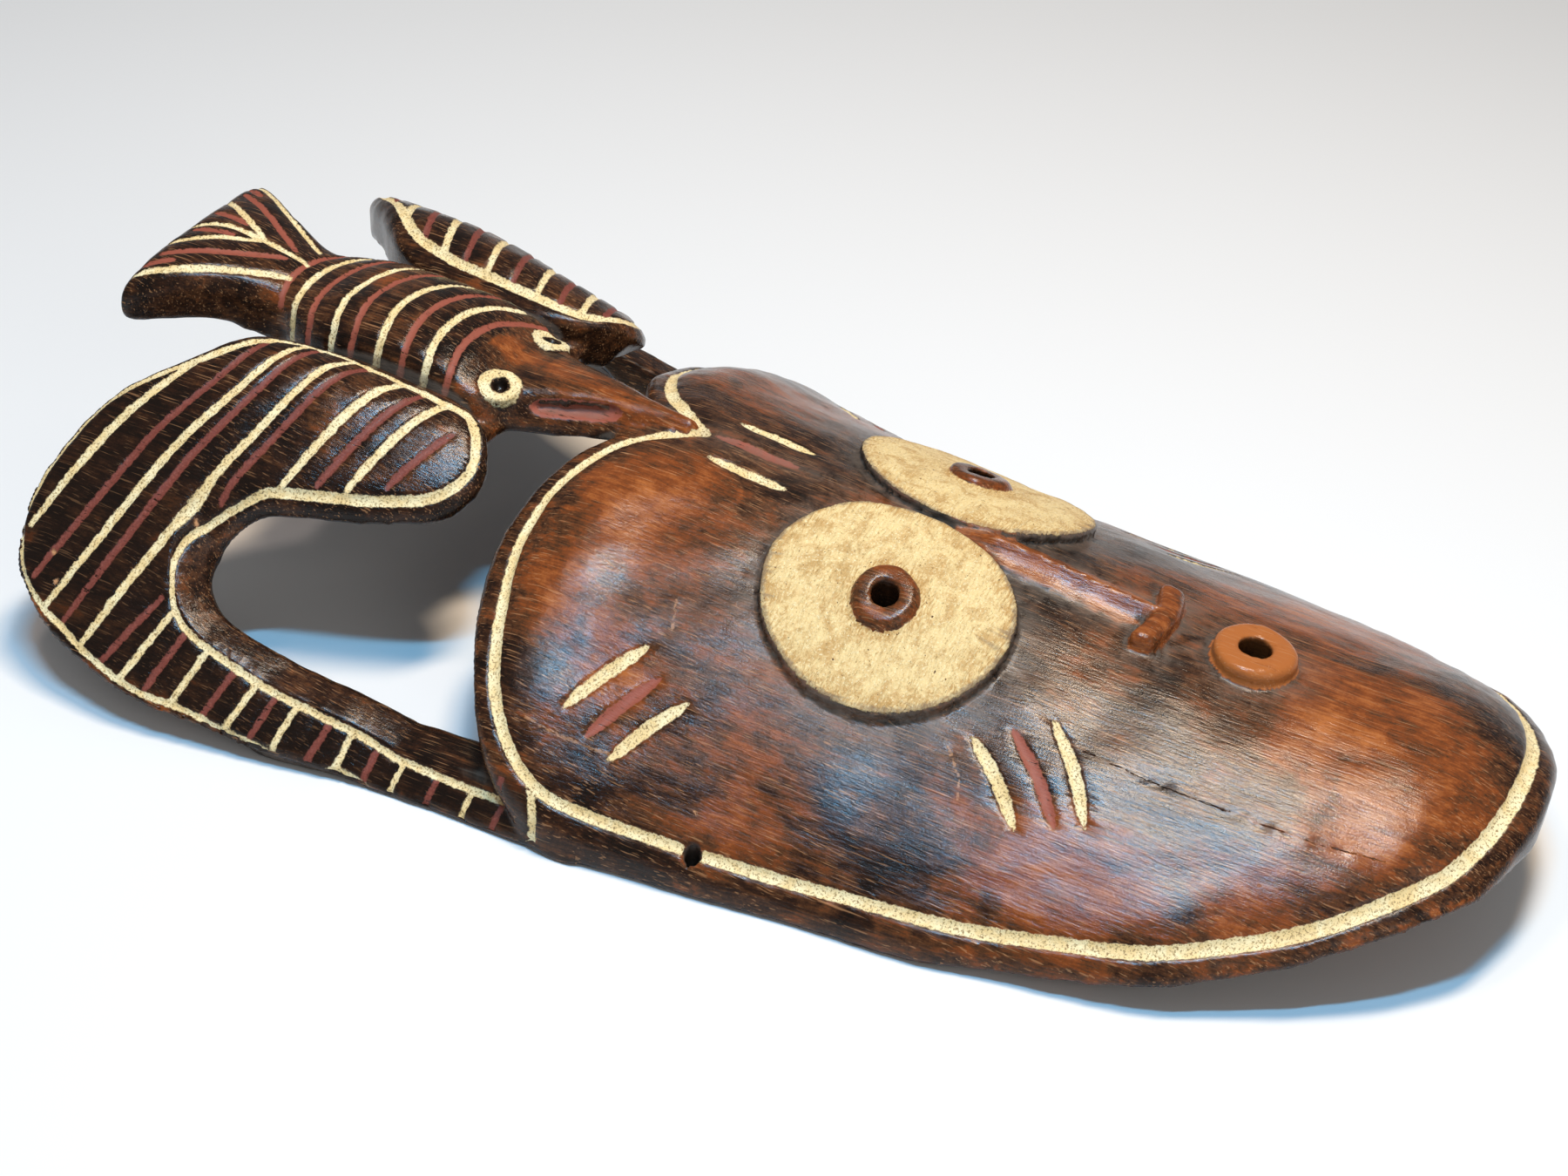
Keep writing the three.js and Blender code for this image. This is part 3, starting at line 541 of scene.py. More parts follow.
def bird_field(u, y, z):
    """The bird: beak, head, body, waist and fan tail, crowned above and arched below."""
    width, crown, level = profile(BIRD_WIDTH, y), profile(BIRD_CROWN, y), profile(BIRD_TOP, y)
    under_width, arch = profile(BIRD_UNDER_WIDTH, y), profile(BIRD_UNDER_ARCH, y)
    # The crown falls as 1 - sqrt(1 - across ** 2.2); steep turns its heights into distances.
    across = np.clip(u / width, 0, 0.97)
    root = np.sqrt(1 - across**2.2)
    steep = np.sqrt(1 + (1.1 * crown * across**1.2 / root / width) ** 2)
    above = (z - level + crown * (1 - root)) / steep
    shoulder = level - BIRD_SHOULDER * crown
    lean = (under_width - width) / (shoulder - (profile(BIRD_UNDER, y) - arch))
    side = (u - width - lean * (shoulder - z)) / np.sqrt(1 + lean**2)
    below = profile(BIRD_UNDER, y) - arch * np.minimum(u / under_width, 1) ** 2 - z
    tail = rising(y, *TAIL_ALONG)
    solid = round_max(above, side, mix(*BIRD_TOP_ROUND, tail))
    solid = round_max(solid, below, mix(*BIRD_UNDER_ROUND, tail))
    return round_max(solid, np.maximum(BIRD_FROM - y, y - BIRD_TO), mix(*BIRD_END_ROUND, tail))


def web_field(u, y, z):
    """The web of wood between the body and each wing."""
    plan = np.maximum(np.maximum(WEB_INNER - u, u - WEB_OUTER), np.maximum(WEB_FROM - y, y - WEB_TO))
    height = np.maximum(z - roof(WEB_MIDDLE, y) + WEB_BELOW, WEB_UNDER - z)
    return round_max(height, plan, WEB_ROUND)


def eye_place(u, y, z):
    """Distance from the axis of the bird's eye, and height along it."""
    away = (u - BIRD_EYE[0], y - BIRD_EYE[1], z - BIRD_EYE[2])
    height = sum(a * n for a, n in zip(away, BIRD_EYE_FACES))
    squared = sum(a * a for a in away)
    return np.sqrt(np.maximum(squared - height**2, 0)), height


def bird_eye_fields(u, y, z):
    """The raised ring of the bird's eye, and the pit in its middle, which widens upwards."""
    radius, height = eye_place(u, y, z)
    ring = round_max(height - BIRD_EYE_RAISED, radius - BIRD_EYE_RADIUS, BIRD_EYE_ROUND)
    ring = np.maximum(ring, -BIRD_EYE_SUNK - height)
    wall = (radius - BIRD_EYE_PIT - BIRD_EYE_FLARE * height) / BIRD_EYE_WALL_LENGTH
    return ring, np.maximum(wall, -BIRD_EYE_PIT_DEPTH - height)


def slit_distance(u, y, z):
    """Distance to the slit of the bird's mouth, which narrows to its ends."""
    a, b = np.array(MOUTH_SLIT)
    way = b - a
    t = np.clip(((u - a[0]) * way[0] + (y - a[1]) * way[1] + (z - a[2]) * way[2]) / (way @ way), 0, 1)
    across = MOUTH_SLIT_DEEPER * (u - a[0] - t * way[0])
    along, high = y - a[1] - t * way[1], z - a[2] - t * way[2]
    return np.sqrt(across**2 + along**2 + high**2) - MOUTH_SLIT_HALF * np.sqrt(1 - (2 * t - 1) ** 4)


def boss(from_centre, level, raised, sunk, z, edge):
    """A raised round shape: from_centre is negative inside it, level is the surface that it stands on."""
    above = (z - level - raised) / BOSS_STEEPNESS
    return np.maximum(round_max(above, from_centre, edge), level - sunk - z)


def nose_field(u, y, z, level):
    """The ridge of the nose with its hollowed flanks, rising from between the eyes."""
    inward = 1 - u / NOSE_HALF
    flank = np.where(inward > 0, np.abs(inward) ** NOSE_FLANK_POWER, NOSE_FLANK_BEYOND * inward)
    ridge = NOSE_RAISED * falling(y, NOSE_FROM, NOSE_START) * flank
    above = (z - level - ridge) / np.sqrt(1 + (NOSE_RAISED / NOSE_HALF) ** 2)
    nose = np.maximum(above, np.maximum(y - NOSE_FROM, NOSE_TO - y))
    return round_max(np.maximum(nose, level - NOSE_SUNK - z), u - NOSE_HALF, NOSE_ROUND)


def nose_bar_field(u, y, z, level):
    """The bar of the nostrils, which gets a little wider and higher outwards."""
    bar_line = y - NOSE_BAR_Y - NOSE_BAR_SWEEP * u
    half = np.abs(bar_line) - NOSE_BAR_HALF - NOSE_BAR_WIDENS * u
    plan = round_max(u - NOSE_BAR_REACH, half, NOSE_BAR_END_ROUND)
    return boss(plan, level + NOSE_BAR_RISES * u, NOSE_BAR_RAISED, NOSE_BAR_SUNK, z, NOSE_BAR_ROUND)


def solid_field(u, y, z):
    """The whole mask on the half grid, and the fields that say which part a point belongs to."""
    u2, y2 = u[:, :, 0], y[:, :, 0]
    level = dome(u2, y2)[:, :, None]
    pupil_raised = DISC_RAISED + PUPIL_RAISED
    pupil_plan = circle_distance(PUPIL, PUPIL_RADIUS, u, y)
    mouth_plan = circle_distance(MOUTH, MOUTH_RADIUS, u, y)
    eye, eye_pit = bird_eye_fields(u, y, z)
    parts = {
        "face": face_field(u2, y2, z),
        "wing": wing_field(u2, y2, z),
        "web": web_field(u, y, z),
        "bird": bird_field(u, y, z),
        "disc": boss(disc_distance(u, y), level, DISC_RAISED, DISC_SUNK, z, DISC_ROUND),
        "pupil": boss(pupil_plan, level, pupil_raised, PUPIL_SUNK, z, PUPIL_ROUND),
        "mouth": boss(mouth_plan, dome(0, y), MOUTH_RAISED, MOUTH_SUNK, z, MOUTH_ROUND),
        "nose": nose_field(u, y, z, level),
        "bar": nose_bar_field(u, y, z, level),
        "eye": eye,
    }
    wood = parts["face"]
    for name, fillet in FILLETS.items():
        wood = round_min(wood, parts[name], fillet)
    wood = round_max(wood, -np.minimum(bore_distance(u, y), eye_pit), BORE_ROUND)
    wood = round_max(wood, -slit_distance(u, y, z), MOUTH_SLIT_ROUND)
    return wood, {name: parts[name] for name in LARGE_PARTS + SMALL_PARTS}


def surface_nets(field):
    """Points and four-sided faces of the zero surface of a field, in grid steps."""
    inside = field < 0
    corners = list(np.ndindex(2, 2, 2))
    size = np.array(field.shape) - 1
    count = np.zeros(size, np.uint8)
    for i, j, k in corners:
        count += inside[i : i + size[0], j : j + size[1], k : k + size[2]]
    mixed = (count > 0) & (count < 8)
    cells = np.argwhere(mixed)
    number = np.full(size, -1, np.int32)
    number[mixed] = np.arange(len(cells))

    # Each point is the middle of the places where the surface crosses the edges of its cell.
    total = np.zeros((len(cells), 3))
    hits = np.zeros(len(cells))
    for axis in range(3):
        step = np.eye(3, dtype=int)[axis]
        for corner in corners:
            if corner[axis]:
                continue
            first = cells + corner
            second = first + step
            low = field[first[:, 0], first[:, 1], first[:, 2]]
            high = field[second[:, 0], second[:, 1], second[:, 2]]
            crossed = (low < 0) != (high < 0)
            t = low[crossed] / (low[crossed] - high[crossed])
            total[crossed] += np.array(corner) + t[:, None] * step
            hits[crossed] += 1
    points = cells + total / hits[:, None]

    # Each crossed edge of the grid gets a face between the four cells round it, facing out of the wood.
    faces = []
    for axis in range(3):
        step, b, c = (np.eye(3, dtype=int)[(axis + turn) % 3] for turn in range(3))
        low = inside[: field.shape[0] - step[0], : field.shape[1] - step[1], : field.shape[2] - step[2]]
        high = inside[step[0] :, step[1] :, step[2] :]
        at = np.argwhere(low != high)
        wood_first = low[at[:, 0], at[:, 1], at[:, 2]]
        ring = np.stack([number[tuple((at + shift).T)] for shift in (-b - c, -c, 0 * b, -b)], axis=1)
        ring[~wood_first] = ring[~wood_first][:, ::-1]
        faces.append(ring)
    return points, np.concatenate(faces)


def sample(volume, points):
    """Values of a half-grid field at points in millimetres, the same on both sides."""
    place = np.stack([np.abs(points[:, 0]), points[:, 1] - Y_LOW, points[:, 2] - Z_LOW], axis=1) / STEP
    place = np.clip(place, 0, np.array(volume.shape) - 1.001)
    low = place.astype(int)
    part = place - low
    value = np.zeros(len(points))
    for i, j, k in np.ndindex(2, 2, 2):
        weight = np.abs(1 - i - part[:, 0]) * np.abs(1 - j - part[:, 1]) * np.abs(1 - k - part[:, 2])
        value += weight * volume[low[:, 0] + i, low[:, 1] + j, low[:, 2] + k]
    return value


def slope_of(volume, points, reach=0.6):
    """Direction and rate in which a field grows."""
    moves = np.eye(3) * reach
    changes = [sample(volume, points + move) - sample(volume, points - move) for move in moves]
    return np.stack(changes, axis=1) / (2 * reach)


def waves(points, length, seed, count=20):
    """Smooth random unevenness of about one, with bumps of the given length."""
    rng = np.random.default_rng(seed)
    way = rng.normal(size=(count, 3))
    way *= (rng.uniform(0.6, 1.5, count) / np.linalg.norm(way, axis=1))[:, None] * 2 * np.pi / length
    return np.cos(points @ way.T + rng.uniform(0, 2 * np.pi, count)).sum(axis=1) / np.sqrt(count / 2)


def thinned(points, faces, keep, target):
    """A mesh with fewer triangles, made coarser only where keep is false."""
    mesh = bpy.data.meshes.new("dense")
    mesh.from_pydata(points.tolist(), [], faces.tolist())
    dense = bpy.data.objects.new("dense", mesh)
    bpy.context.scene.collection.objects.link(dense)
    group = dense.vertex_groups.new(name="free")
    group.add(np.flatnonzero(~keep).tolist(), 1.0, "REPLACE")
    modifier = dense.modifiers.new("thin", "DECIMATE")
    modifier.vertex_group = "free"
    modifier.vertex_group_factor = 1.0
    modifier.ratio = target / (2 * len(faces))
    done = bpy.data.meshes.new_from_object(dense.evaluated_get(bpy.context.evaluated_depsgraph_get()))
    bpy.data.objects.remove(dense)
    return done


def stroke(line, half, x, y, taper=0.3):
    """Distance to the edge of a painted or cut line, negative inside, with its ends drawn in."""
    distance, along = line_distance(curve(line, 4), x, y)
    return distance - half * (1 - taper * np.abs(2 * along - 1) ** 4)


def arc(middle, x, y):
    """Distance along y to an arc across the bird's body."""
    bent = np.clip(x, -BODY_STRIPE_BENDS_TO, BODY_STRIPE_BENDS_TO)
    return np.abs(y - middle + BODY_STRIPE_BEND * (bent - BODY_STRIPE_AXIS) ** 2)


def field_distance(u, y):
    """Distance to the outline of a wing's striped field, negative inside it."""
    edge = lines_distance(field_edges, u, y)
    return np.where(inside_outline(field_outline, u, y), -edge, edge)


def far_stripe(start):
    """A stripe of the far wing, which bends away outwards."""
    away = [u - FAR_STRIPE_AT[0] for u in FAR_STRIPE_AT]
    along = [start + FAR_STRIPE_SLOPE * d + FAR_STRIPE_BEND * d**2 for d in away]
    return list(zip(FAR_STRIPE_AT, along))


def only(where, distance):
    """A distance to paint that is there only on some points."""
    return np.where(where, distance, FAR_OFF)


def wing_paint(x, y, along_slope):
    """Distances to the lines, stripes and bars of both wings, and to the outline of their striped fields."""
    u = np.abs(x)
    shift = NEAR_LINE_SHIFT * (x < 0) * falling(u, *NEAR_LINE_ACROSS) * rising(y, *NEAR_LINE_ALONG)
    field = field_distance(u - shift, y)
    outer, inner = field_edges
    line = np.minimum(line_distance(outer, u - shift, y)[0], line_distance(inner, u, y)[0]) * along_slope
    line -= mix(*WING_LINE_HALF, rising(u, *WING_LINE_ACROSS))
    marks = {"cream": [line, stroke(FIELD_END, FIELD_END_HALF, u, y)], "red": []}
    far_wing = (x > 0) & ((u < HOOK_FROM) | (y > HOOK_Y + HOOK_SLANT * (u - HOOK_FROM)))
    for where, stripes in ((x < 0, NEAR_STRIPES), (far_wing, [far_stripe(start) for start in FAR_STRIPES])):
        for stripe, colour in zip(stripes, cycle(("red", "cream"))):
            distance = np.maximum(stroke(stripe, STRIPE_HALF[colour], u, y), field)
            marks[colour].append(only(where, distance))
    for (inner, outer), colour in zip(ARM_BARS, cycle(("red", "cream"))):
        bar = [(ARM_BAR_FROM, inner - 1), (ARM_BAR_TO, outer + 1)]
        distance = np.maximum(stroke(bar, ARM_BAR_HALF, u, y), field)
        marks[colour].append(only(u > HOOK_FROM, distance))
    return marks, field


def bird_paint(x, y, z, up):
    """Distances to the arcs of the body, the lines of the tail and the slit of the mouth."""
    u = np.abs(x)
    marks = {"cream": [], "red": []}
    for middle, colour in zip(BODY_STRIPES, cycle(("cream", "red"))):
        across = np.maximum(arc(middle, x, y) - STRIPE_HALF[colour], u - BODY_STRIPE_REACH[colour])
        marks[colour].append(across)
    marks["red"].append(np.maximum(arc(NECK_STRIPE, x, y) - NECK_STRIPE_HALF, u - NECK_STRIPE_REACH))
    tail = [stroke(line, TAIL_CREAM_HALF, u, y) for line in TAIL_CREAM]
    tail.append(stroke(TAIL_MIDDLE, TAIL_CREAM_HALF, x, y))
    marks["cream"] += [only(up > 0.4, line) for line in tail]
    marks["red"] += [stroke(line, TAIL_RED_HALF, u, y) for line in TAIL_RED]
    marks["red"].append(slit_distance(u, y, z) - MOUTH_SLIT_PAINT)
    return marks


def paint(points, up, owner):
    """Distances in millimetres to the edge of each kind of paint, negative inside it."""
    x, y, z = points.T
    u = np.abs(x)
    along_slope = 1 / np.maximum(up, 0.25)
    on_face = (owner == "face") & (up > 0.05)
    on_arm_foot = (owner == "face") & (u > ARM_FOOT[0]) & (y > ARM_FOOT[1])
    on_wing = ((owner == "wing") | on_arm_foot) & (up > 0.0)
    on_bird = (owner == "bird") & (up > -0.3)
    on_beak_tip = (owner == "bird") & (y < BEAK_TIP_Y) & (up > 0.05)

    wing_marks, field = wing_paint(x, y, along_slope)
    bird_marks = bird_paint(x, y, z, up)
    marks = {}
    for colour in ("cream", "red"):
        marks[colour] = [only(on_wing, distance) for distance in wing_marks[colour]]
        marks[colour] += [only(on_bird, distance) for distance in bird_marks[colour]]
    face_edge = line_distance(face_line, u, y)[0] * along_slope - profile(LINE_HALF, y)
    marks["cream"].append(only(on_face | on_beak_tip, face_edge))
    eye_radius, eye_height = eye_place(u, y, z)
    ring = np.maximum(np.abs(eye_radius - EYE_PAINT) - EYE_PAINT_HALF, np.abs(eye_height) - EYE_PAINT_HEIGHT)
    marks["cream"].append(only(np.isin(owner, ["eye", "bird"]), ring))
    marks_at = np.where((x > 0) & (y < CHEEK_BELOW), u - FAR_CHEEK_SHIFT, u)
    for colour, lines in (("cream", FACE_CREAM), ("red", FACE_RED)):
        half = FACE_MARK_HALF[colour]
        marks[colour] += [only(on_face, stroke(line, half, marks_at, y, taper=0.75)) for line in lines]

    disc = np.maximum(disc_distance(u, y) + 0.3, -circle_distance(PUPIL, PUPIL_RADIUS + 0.1, u, y))
    return {
        "cream": nearest_of(marks["cream"]),
        "red": nearest_of(marks["red"]),
        "disc": only(up > 0.35, disc),
        "striped": only(on_wing, field),
    }


def nearest_owner(owners, points):
    """Name of the part that each point belongs to; small parts go before those that they stand on."""
    values = [sample(volume, points) - (name in SMALL_PARTS) * 0.25 for name, volume in owners.items()]
    return np.array(list(owners))[np.argmin(np.stack(values), axis=0)]


def wear_of(points, owner, closed):
    """How much of the reddish wood shows through the stain, about 1 where it is well worn."""
    x, y = points[:, 0], points[:, 1]
    total = np.zeros(len(points))
    for worn_x, worn_y, radius, strength in WORN:
        total += strength * np.exp(-((x - worn_x) ** 2 + (y - worn_y) ** 2) / radius**2)
    wear = np.clip(total, 0, 1) * (owner == "face")
    for name, amount in PART_WEAR.items():
        wear = np.where(owner == name, amount, wear)
    wear = np.where((owner == "nose") & (closed < 0.5), NOSE_WEAR, wear)
    head_wear = HEAD_WEAR + BEAK_WEAR * falling(np.abs(x), 8, 6)
    return np.where((owner == "bird") & (y < HEAD_TO), head_wear, wear)


def dust_round(across, y, owner):
    """Share of dust on the face and nose, near the foot of each raised shape."""
    bar = np.maximum(across - NOSE_BAR_REACH, np.abs(y - NOSE_BAR_Y) - NOSE_BAR_HALF)
    nose = np.maximum(across - NOSE_HALF, NOSE_TO - y) + 9 * rising(y, -60, 20)
    mouth = circle_distance(MOUTH, MOUTH_RADIUS, across, y)
    around = nearest_of([disc_distance(across, y), mouth, bar, nose])
    share = np.exp(-np.maximum(around, 0) / DUST_FADE) * (around > -1.5)
    return share * ((owner == "face") + 0.4 * (owner == "nose"))


def carving(points, normal, marks, chip, moat):
    """How far each point stands out: cut lines, unevenness, chips, moats and gouge marks in the back."""
    x, y, z = points.T
    front = normal[:, 2] > FRONT
    relief = -(CREAM_CUT * falling(marks["cream"], 0.5, 1.6) + RED_CUT * falling(marks["red"], 0.5, 1.4))
    fine = FINE_HEIGHT * waves(points, FINE_LENGTH, SEED + 1)
    relief += BROAD_HEIGHT * waves(points, BROAD_LENGTH, SEED) + fine
    relief -= CHIP_DEPTH * falling(chip, 0, 1.2) * front
    relief -= MOAT_DEPTH * moat * front
    gouge = np.abs(np.sin(np.pi * (x + 3 * waves(points, 40, SEED + 2)) / GOUGE_WIDTH))
    gouge *= 0.7 + 0.3 * np.abs(np.sin(np.pi * (y + 6 * waves(points, 35, SEED + 3)) / GOUGE_LENGTH))
    relief += GOUGE_DEPTH * (1 - gouge) * rising(-normal[:, 2], 0.25, 0.3) * rising(z, 1, 3)
    return relief


def skew(points, across):
    """Turns the tail and the wings beside it a little, and draws out the tail's left corner."""
    x, y = points[:, 0], points[:, 1]
    y += SKEW * x * rising(y, *SKEW_ALONG) * falling(across, *SKEW_ACROSS)
    y += TAIL_REACH * rising(y, *TAIL_REACH_ALONG) * falling(x, 0, 40) * rising(x, -56, 10)


def detailed(wood, owners, points):
    """True for the points that stay dense: near paint and scars, and where the front bends."""
    up = slope_of(wood, points)[:, 2]
    marks = paint(points, up, nearest_owner(owners, points))
    painted = np.minimum(marks["cream"], marks["red"]) < PAINT_REACH
    painted |= np.abs(marks["disc"]) < DISC_REACH
    bent = np.linalg.norm(slope_of(wood, points, 2.0), axis=1) < BENT
    scars = lines_distance(CRACKS + SCRATCHES, points[:, 0], points[:, 1]) < SCAR_REACH
    return painted | (bent & (up > -0.3)) | (scars & (up > 0.2))


def carved_mesh():
    """The mask's mesh before its relief, with its field and the fields of its parts."""
    u = np.arange(0, HALF_WIDTH + STEP, STEP)[:, None, None]
    y = np.arange(Y_LOW, Y_HIGH + STEP, STEP)[None, :, None]
    z = np.arange(Z_LOW, Z_HIGH + STEP, STEP)[None, None, :]
    u_plan, y_plan = np.broadcast_arrays(u, y)
    wood, owners = solid_field(u_plan, y_plan, z)
    wood = wood.astype(np.float32)
    steps, faces = surface_nets(np.concatenate([wood[:0:-1], wood]))
    points = steps * STEP + np.array([-HALF_WIDTH, Y_LOW, Z_LOW])
    keep = detailed(wood, owners, points)
    mesh = thinned(points, faces, keep, TRIANGLES)
    share = round(float(keep.mean()), 3)
    print("dense triangles", 2 * len(faces), "kept share", share, "thinned", len(mesh.polygons))
    return mesh, wood, owners


def make_mask():
    """The mask's object, with the distances to its marks as attributes of its mesh."""
    mesh, wood, owners = carved_mesh()
    points = np.array([v.co for v in mesh.vertices])
    for _ in range(2):
        rise = slope_of(wood, points)
        points -= rise * (sample(wood, points) / np.maximum((rise**2).sum(axis=1), 0.2))[:, None]
    normal = slope_of(wood, points)
    normal /= np.linalg.norm(normal, axis=1)[:, None]
    owner = nearest_owner(owners, points)
    marks = paint(points, normal[:, 2], owner)
    x, y, z = points.T
    across = np.abs(x)
    front = normal[:, 2] > FRONT

    # Hollows are nearer to other wood than open surface, and edges are further from it.
    closed = 1 - np.clip(sample(wood, points + FEELER * normal) / FEELER, 0, 1)
    closed = np.where(np.isin(owner, ["pupil", "mouth", "bar"]), 0.3 * closed, closed)
    edge = np.clip(1 + sample(wood, points - FEELER * normal) / FEELER, 0, 1)
    eye_radius, eye_height = eye_place(across, y, z)
    eye_pit = np.maximum(eye_radius - EYE_DARK, np.abs(eye_height) - EYE_DARK_HEIGHT)
    from_disc = disc_distance(across, y)
    moat = np.exp(-np.maximum(from_disc, 0) / MOAT_FADE) * rising(from_disc, -0.3, 0.6) * (owner == "face")
    chip = nearest_of(np.hypot(x - cx, 0.7 * (y - cy)) - radius for cx, cy, radius in CHIPS)
    values = {
        **marks,
        "closed": closed,
        "edge": edge,
        "crack": only(front, lines_distance(CRACKS, x, y)),
        "scratch": only(front, lines_distance(SCRATCHES, x, y)),
        "chip": only(front, chip),
        "hook": rising(across, *SOOT_ACROSS),
        "back": rising(-normal[:, 2], 0.1, 0.3),
        "bore_shade": np.minimum(bore_distance(across, y), eye_pit),
        "haze": dust_round(across, y, owner),
    }

    points += carving(points, normal, marks, chip, moat)[:, None] * normal
    values["worn"] = wear_of(points, owner, closed)
    skew(points, across)
    points = np.clip(points, *(1000 * np.array(cad_box)))
    mesh.vertices.foreach_set("co", (points / 1000).astype(np.float32).ravel())
    for name, value in values.items():
        mesh.attributes.new(name, "FLOAT", "POINT").data.foreach_set("value", value.astype(np.float32))
    mesh.polygons.foreach_set("use_smooth", [True] * len(mesh.polygons))
    mesh.name = "carved_mask"
    mesh.materials.clear()
    mesh.update()
    mask = bpy.data.objects.new("carved_mask", mesh)
    bpy.context.scene.collection.objects.link(mask)
    return mask


class Nodes:
    """Short calls for building a material's node tree."""

    def __init__(self, material):
        self.tree = material.node_tree

    def add(self, kind, inputs=None, **settings):
        node = self.tree.nodes.new(kind)
        for name, value in settings.items():
            setattr(node, name, value)
        for name, value in (inputs or {}).items():
            self.set(node.inputs[name], value)
        return node

    def set(self, socket, value):
        """Links a socket to another one, or gives it a number, a vector or a colour."""
        if isinstance(value, bpy.types.NodeSocket):
            self.tree.links.new(value, socket)
        elif socket.type == "RGBA":
            socket.default_value = (*value, 1)
        else:
            socket.default_value = value

    def math(self, operation, a, b):
        return self.add("ShaderNodeMath", {0: a, 1: b}, operation=operation).outputs[0]

    def times(self, a, b):
        return self.math("MULTIPLY", a, b)

    def plus(self, total, *terms):
        """Adds numbers or sockets, or pairs of a socket and its weight."""
        for term in terms:
            total = self.math("ADD", total, self.times(*term) if isinstance(term, tuple) else term)
        return total

    def minus(self, a, b):
        return self.math("SUBTRACT", a, b)

    def largest(self, value, *others):
        for other in others:
            value = self.math("MAXIMUM", value, other)
        return value

    def attribute(self, name):
        return self.add("ShaderNodeAttribute", attribute_name=name).outputs["Fac"]

    def ramp(self, value, low, high):
        """0 at low and 1 at high, with a smooth step between; low may be the larger."""
        node = self.add("ShaderNodeMapRange", {0: value, 1: low, 2: high}, interpolation_type="SMOOTHSTEP")
        return node.outputs[0]

    def noise(self, place, scale, detail=3.0, roughness=0.55, distortion=0.0):
        inputs = {"Scale": scale, "Detail": detail, "Roughness": roughness, "Distortion": distortion}
        return self.add("ShaderNodeTexNoise", {"Vector": place, **inputs}).outputs["Fac"]

    def stretch(self, place, scale, turn=0.0):
        inputs = {"Vector": place, "Scale": scale, "Rotation": (0, 0, turn)}
        return self.add("ShaderNodeMapping", inputs).outputs[0]

    def blend(self, share, a, b):
        """Colour a where share is 0 and b where it is 1."""
        node = self.add("ShaderNodeMix", {0: share, 6: a, 7: b}, data_type="RGBA")
        return node.outputs[2]

    def colours(self, value, stops):
        """A colour between those at the given stops."""
        node = self.add("ShaderNodeValToRGB", {0: value})
        elements = node.color_ramp.elements
        while len(elements) < len(stops):
            elements.new(0.5)
        for element, (position, colour) in zip(elements, stops):
            element.position = position
            element.color = (*colour, 1)
        return node.outputs[0]


def wood_noises(nodes):
    """The noises that wood, paint and wear share; scales are per millimetre."""
    mm = nodes.stretch(nodes.add("ShaderNodeTexCoord").outputs["Object"], (1000, 1000, 1000))
    grain = nodes.stretch(mm, (1.0, 0.10, 1.0))
    return SimpleNamespace(
        mm=mm,
        fine_grain=nodes.noise(grain, 1.3, 4.0, 0.6, 0.4),
        streaks=nodes.noise(grain, 0.22, 4.0, 0.6, 0.8),
        patches=nodes.noise(mm, 0.028, 5.0, 0.6, 1.2),
        mottle=nodes.noise(mm, 0.16, 4.0, 0.65, 0.5),
        specks=nodes.noise(mm, 1.5, 4.0, 0.6),
        wobble=nodes.noise(mm, 0.55, 3.0, 0.6),
        brushed=nodes.noise(nodes.stretch(mm, (0.25, 1.3, 1.0), 0.6), 0.6, 4.0, 0.65, 2.0),
        pits=nodes.noise(mm, 0.9, 2.0, 0.5),
    )


def bare_wood(nodes, noise):
    """Dark stain worn back to reddish wood in patches and along the edges, which are lighter also as a
    painted highlight.
    """
    tone = nodes.plus(
        nodes.times(noise.patches, 0.50),
        (noise.streaks, 0.38),
        (noise.mottle, 0.26),
        (noise.fine_grain, 0.34),
        (noise.specks, 0.14),
    )
    tone = nodes.minus(tone, 0.316)
    # The edges are lighter, as rubbed wood and as a painted highlight along them.
    rubbed_and_lit_edges = nodes.times(nodes.ramp(nodes.attribute("edge"), 0.35, 0.9), nodes.ramp(noise.mottle, 0.42, 0.7))
    tone = nodes.plus(tone, (nodes.attribute("worn"), 0.24), (rubbed_and_lit_edges, 0.16))
    # Painted shade: the wood is made darker in hollows and corners.
    tone = nodes.minus(tone, nodes.times(nodes.ramp(nodes.attribute("closed"), 0.15, 0.8), 0.16))
    wood = nodes.colours(tone, WOOD_STOPS)
    for turn, scale in HAIRLINES:
        hairlines = nodes.noise(nodes.stretch(noise.mm, (2.4, 0.06, 1.0), turn), scale, 2.0, 0.5)
        wood = nodes.blend(nodes.times(nodes.ramp(hairlines, 0.65, 0.71), 0.4), wood, RAW_WOOD)
    inside_field = nodes.ramp(nodes.plus(nodes.attribute("striped"), noise.wobble), 0.9, 0.1)
    soot = nodes.times(inside_field, nodes.attribute("hook"))
    wood = nodes.blend(nodes.times(soot, 0.65), wood, BLACKENED_AND_SHADE)
    # Darker where the surface faces downwards.
    return nodes.blend(nodes.times(nodes.attribute("back"), 0.45), wood, DARK_WOOD)


def red_paint(nodes, noise, ragged):
    """Share and colour of the red paint, brighter off the wings."""
    share = nodes.ramp(nodes.plus(nodes.attribute("red"), ragged), 0.25, -0.3)
    share = nodes.times(share, nodes.ramp(noise.fine_grain, 0.30, 0.42))
    red = nodes.blend(nodes.ramp(noise.specks, 0.45, 0.7), RED_PAINT, RED_PAINT_PALE)
    off_wings = nodes.ramp(nodes.attribute("striped"), 2.0, 8.0)
    return share, nodes.blend(nodes.times(off_wings, 0.7), red, RED_PAINT_BRIGHT)


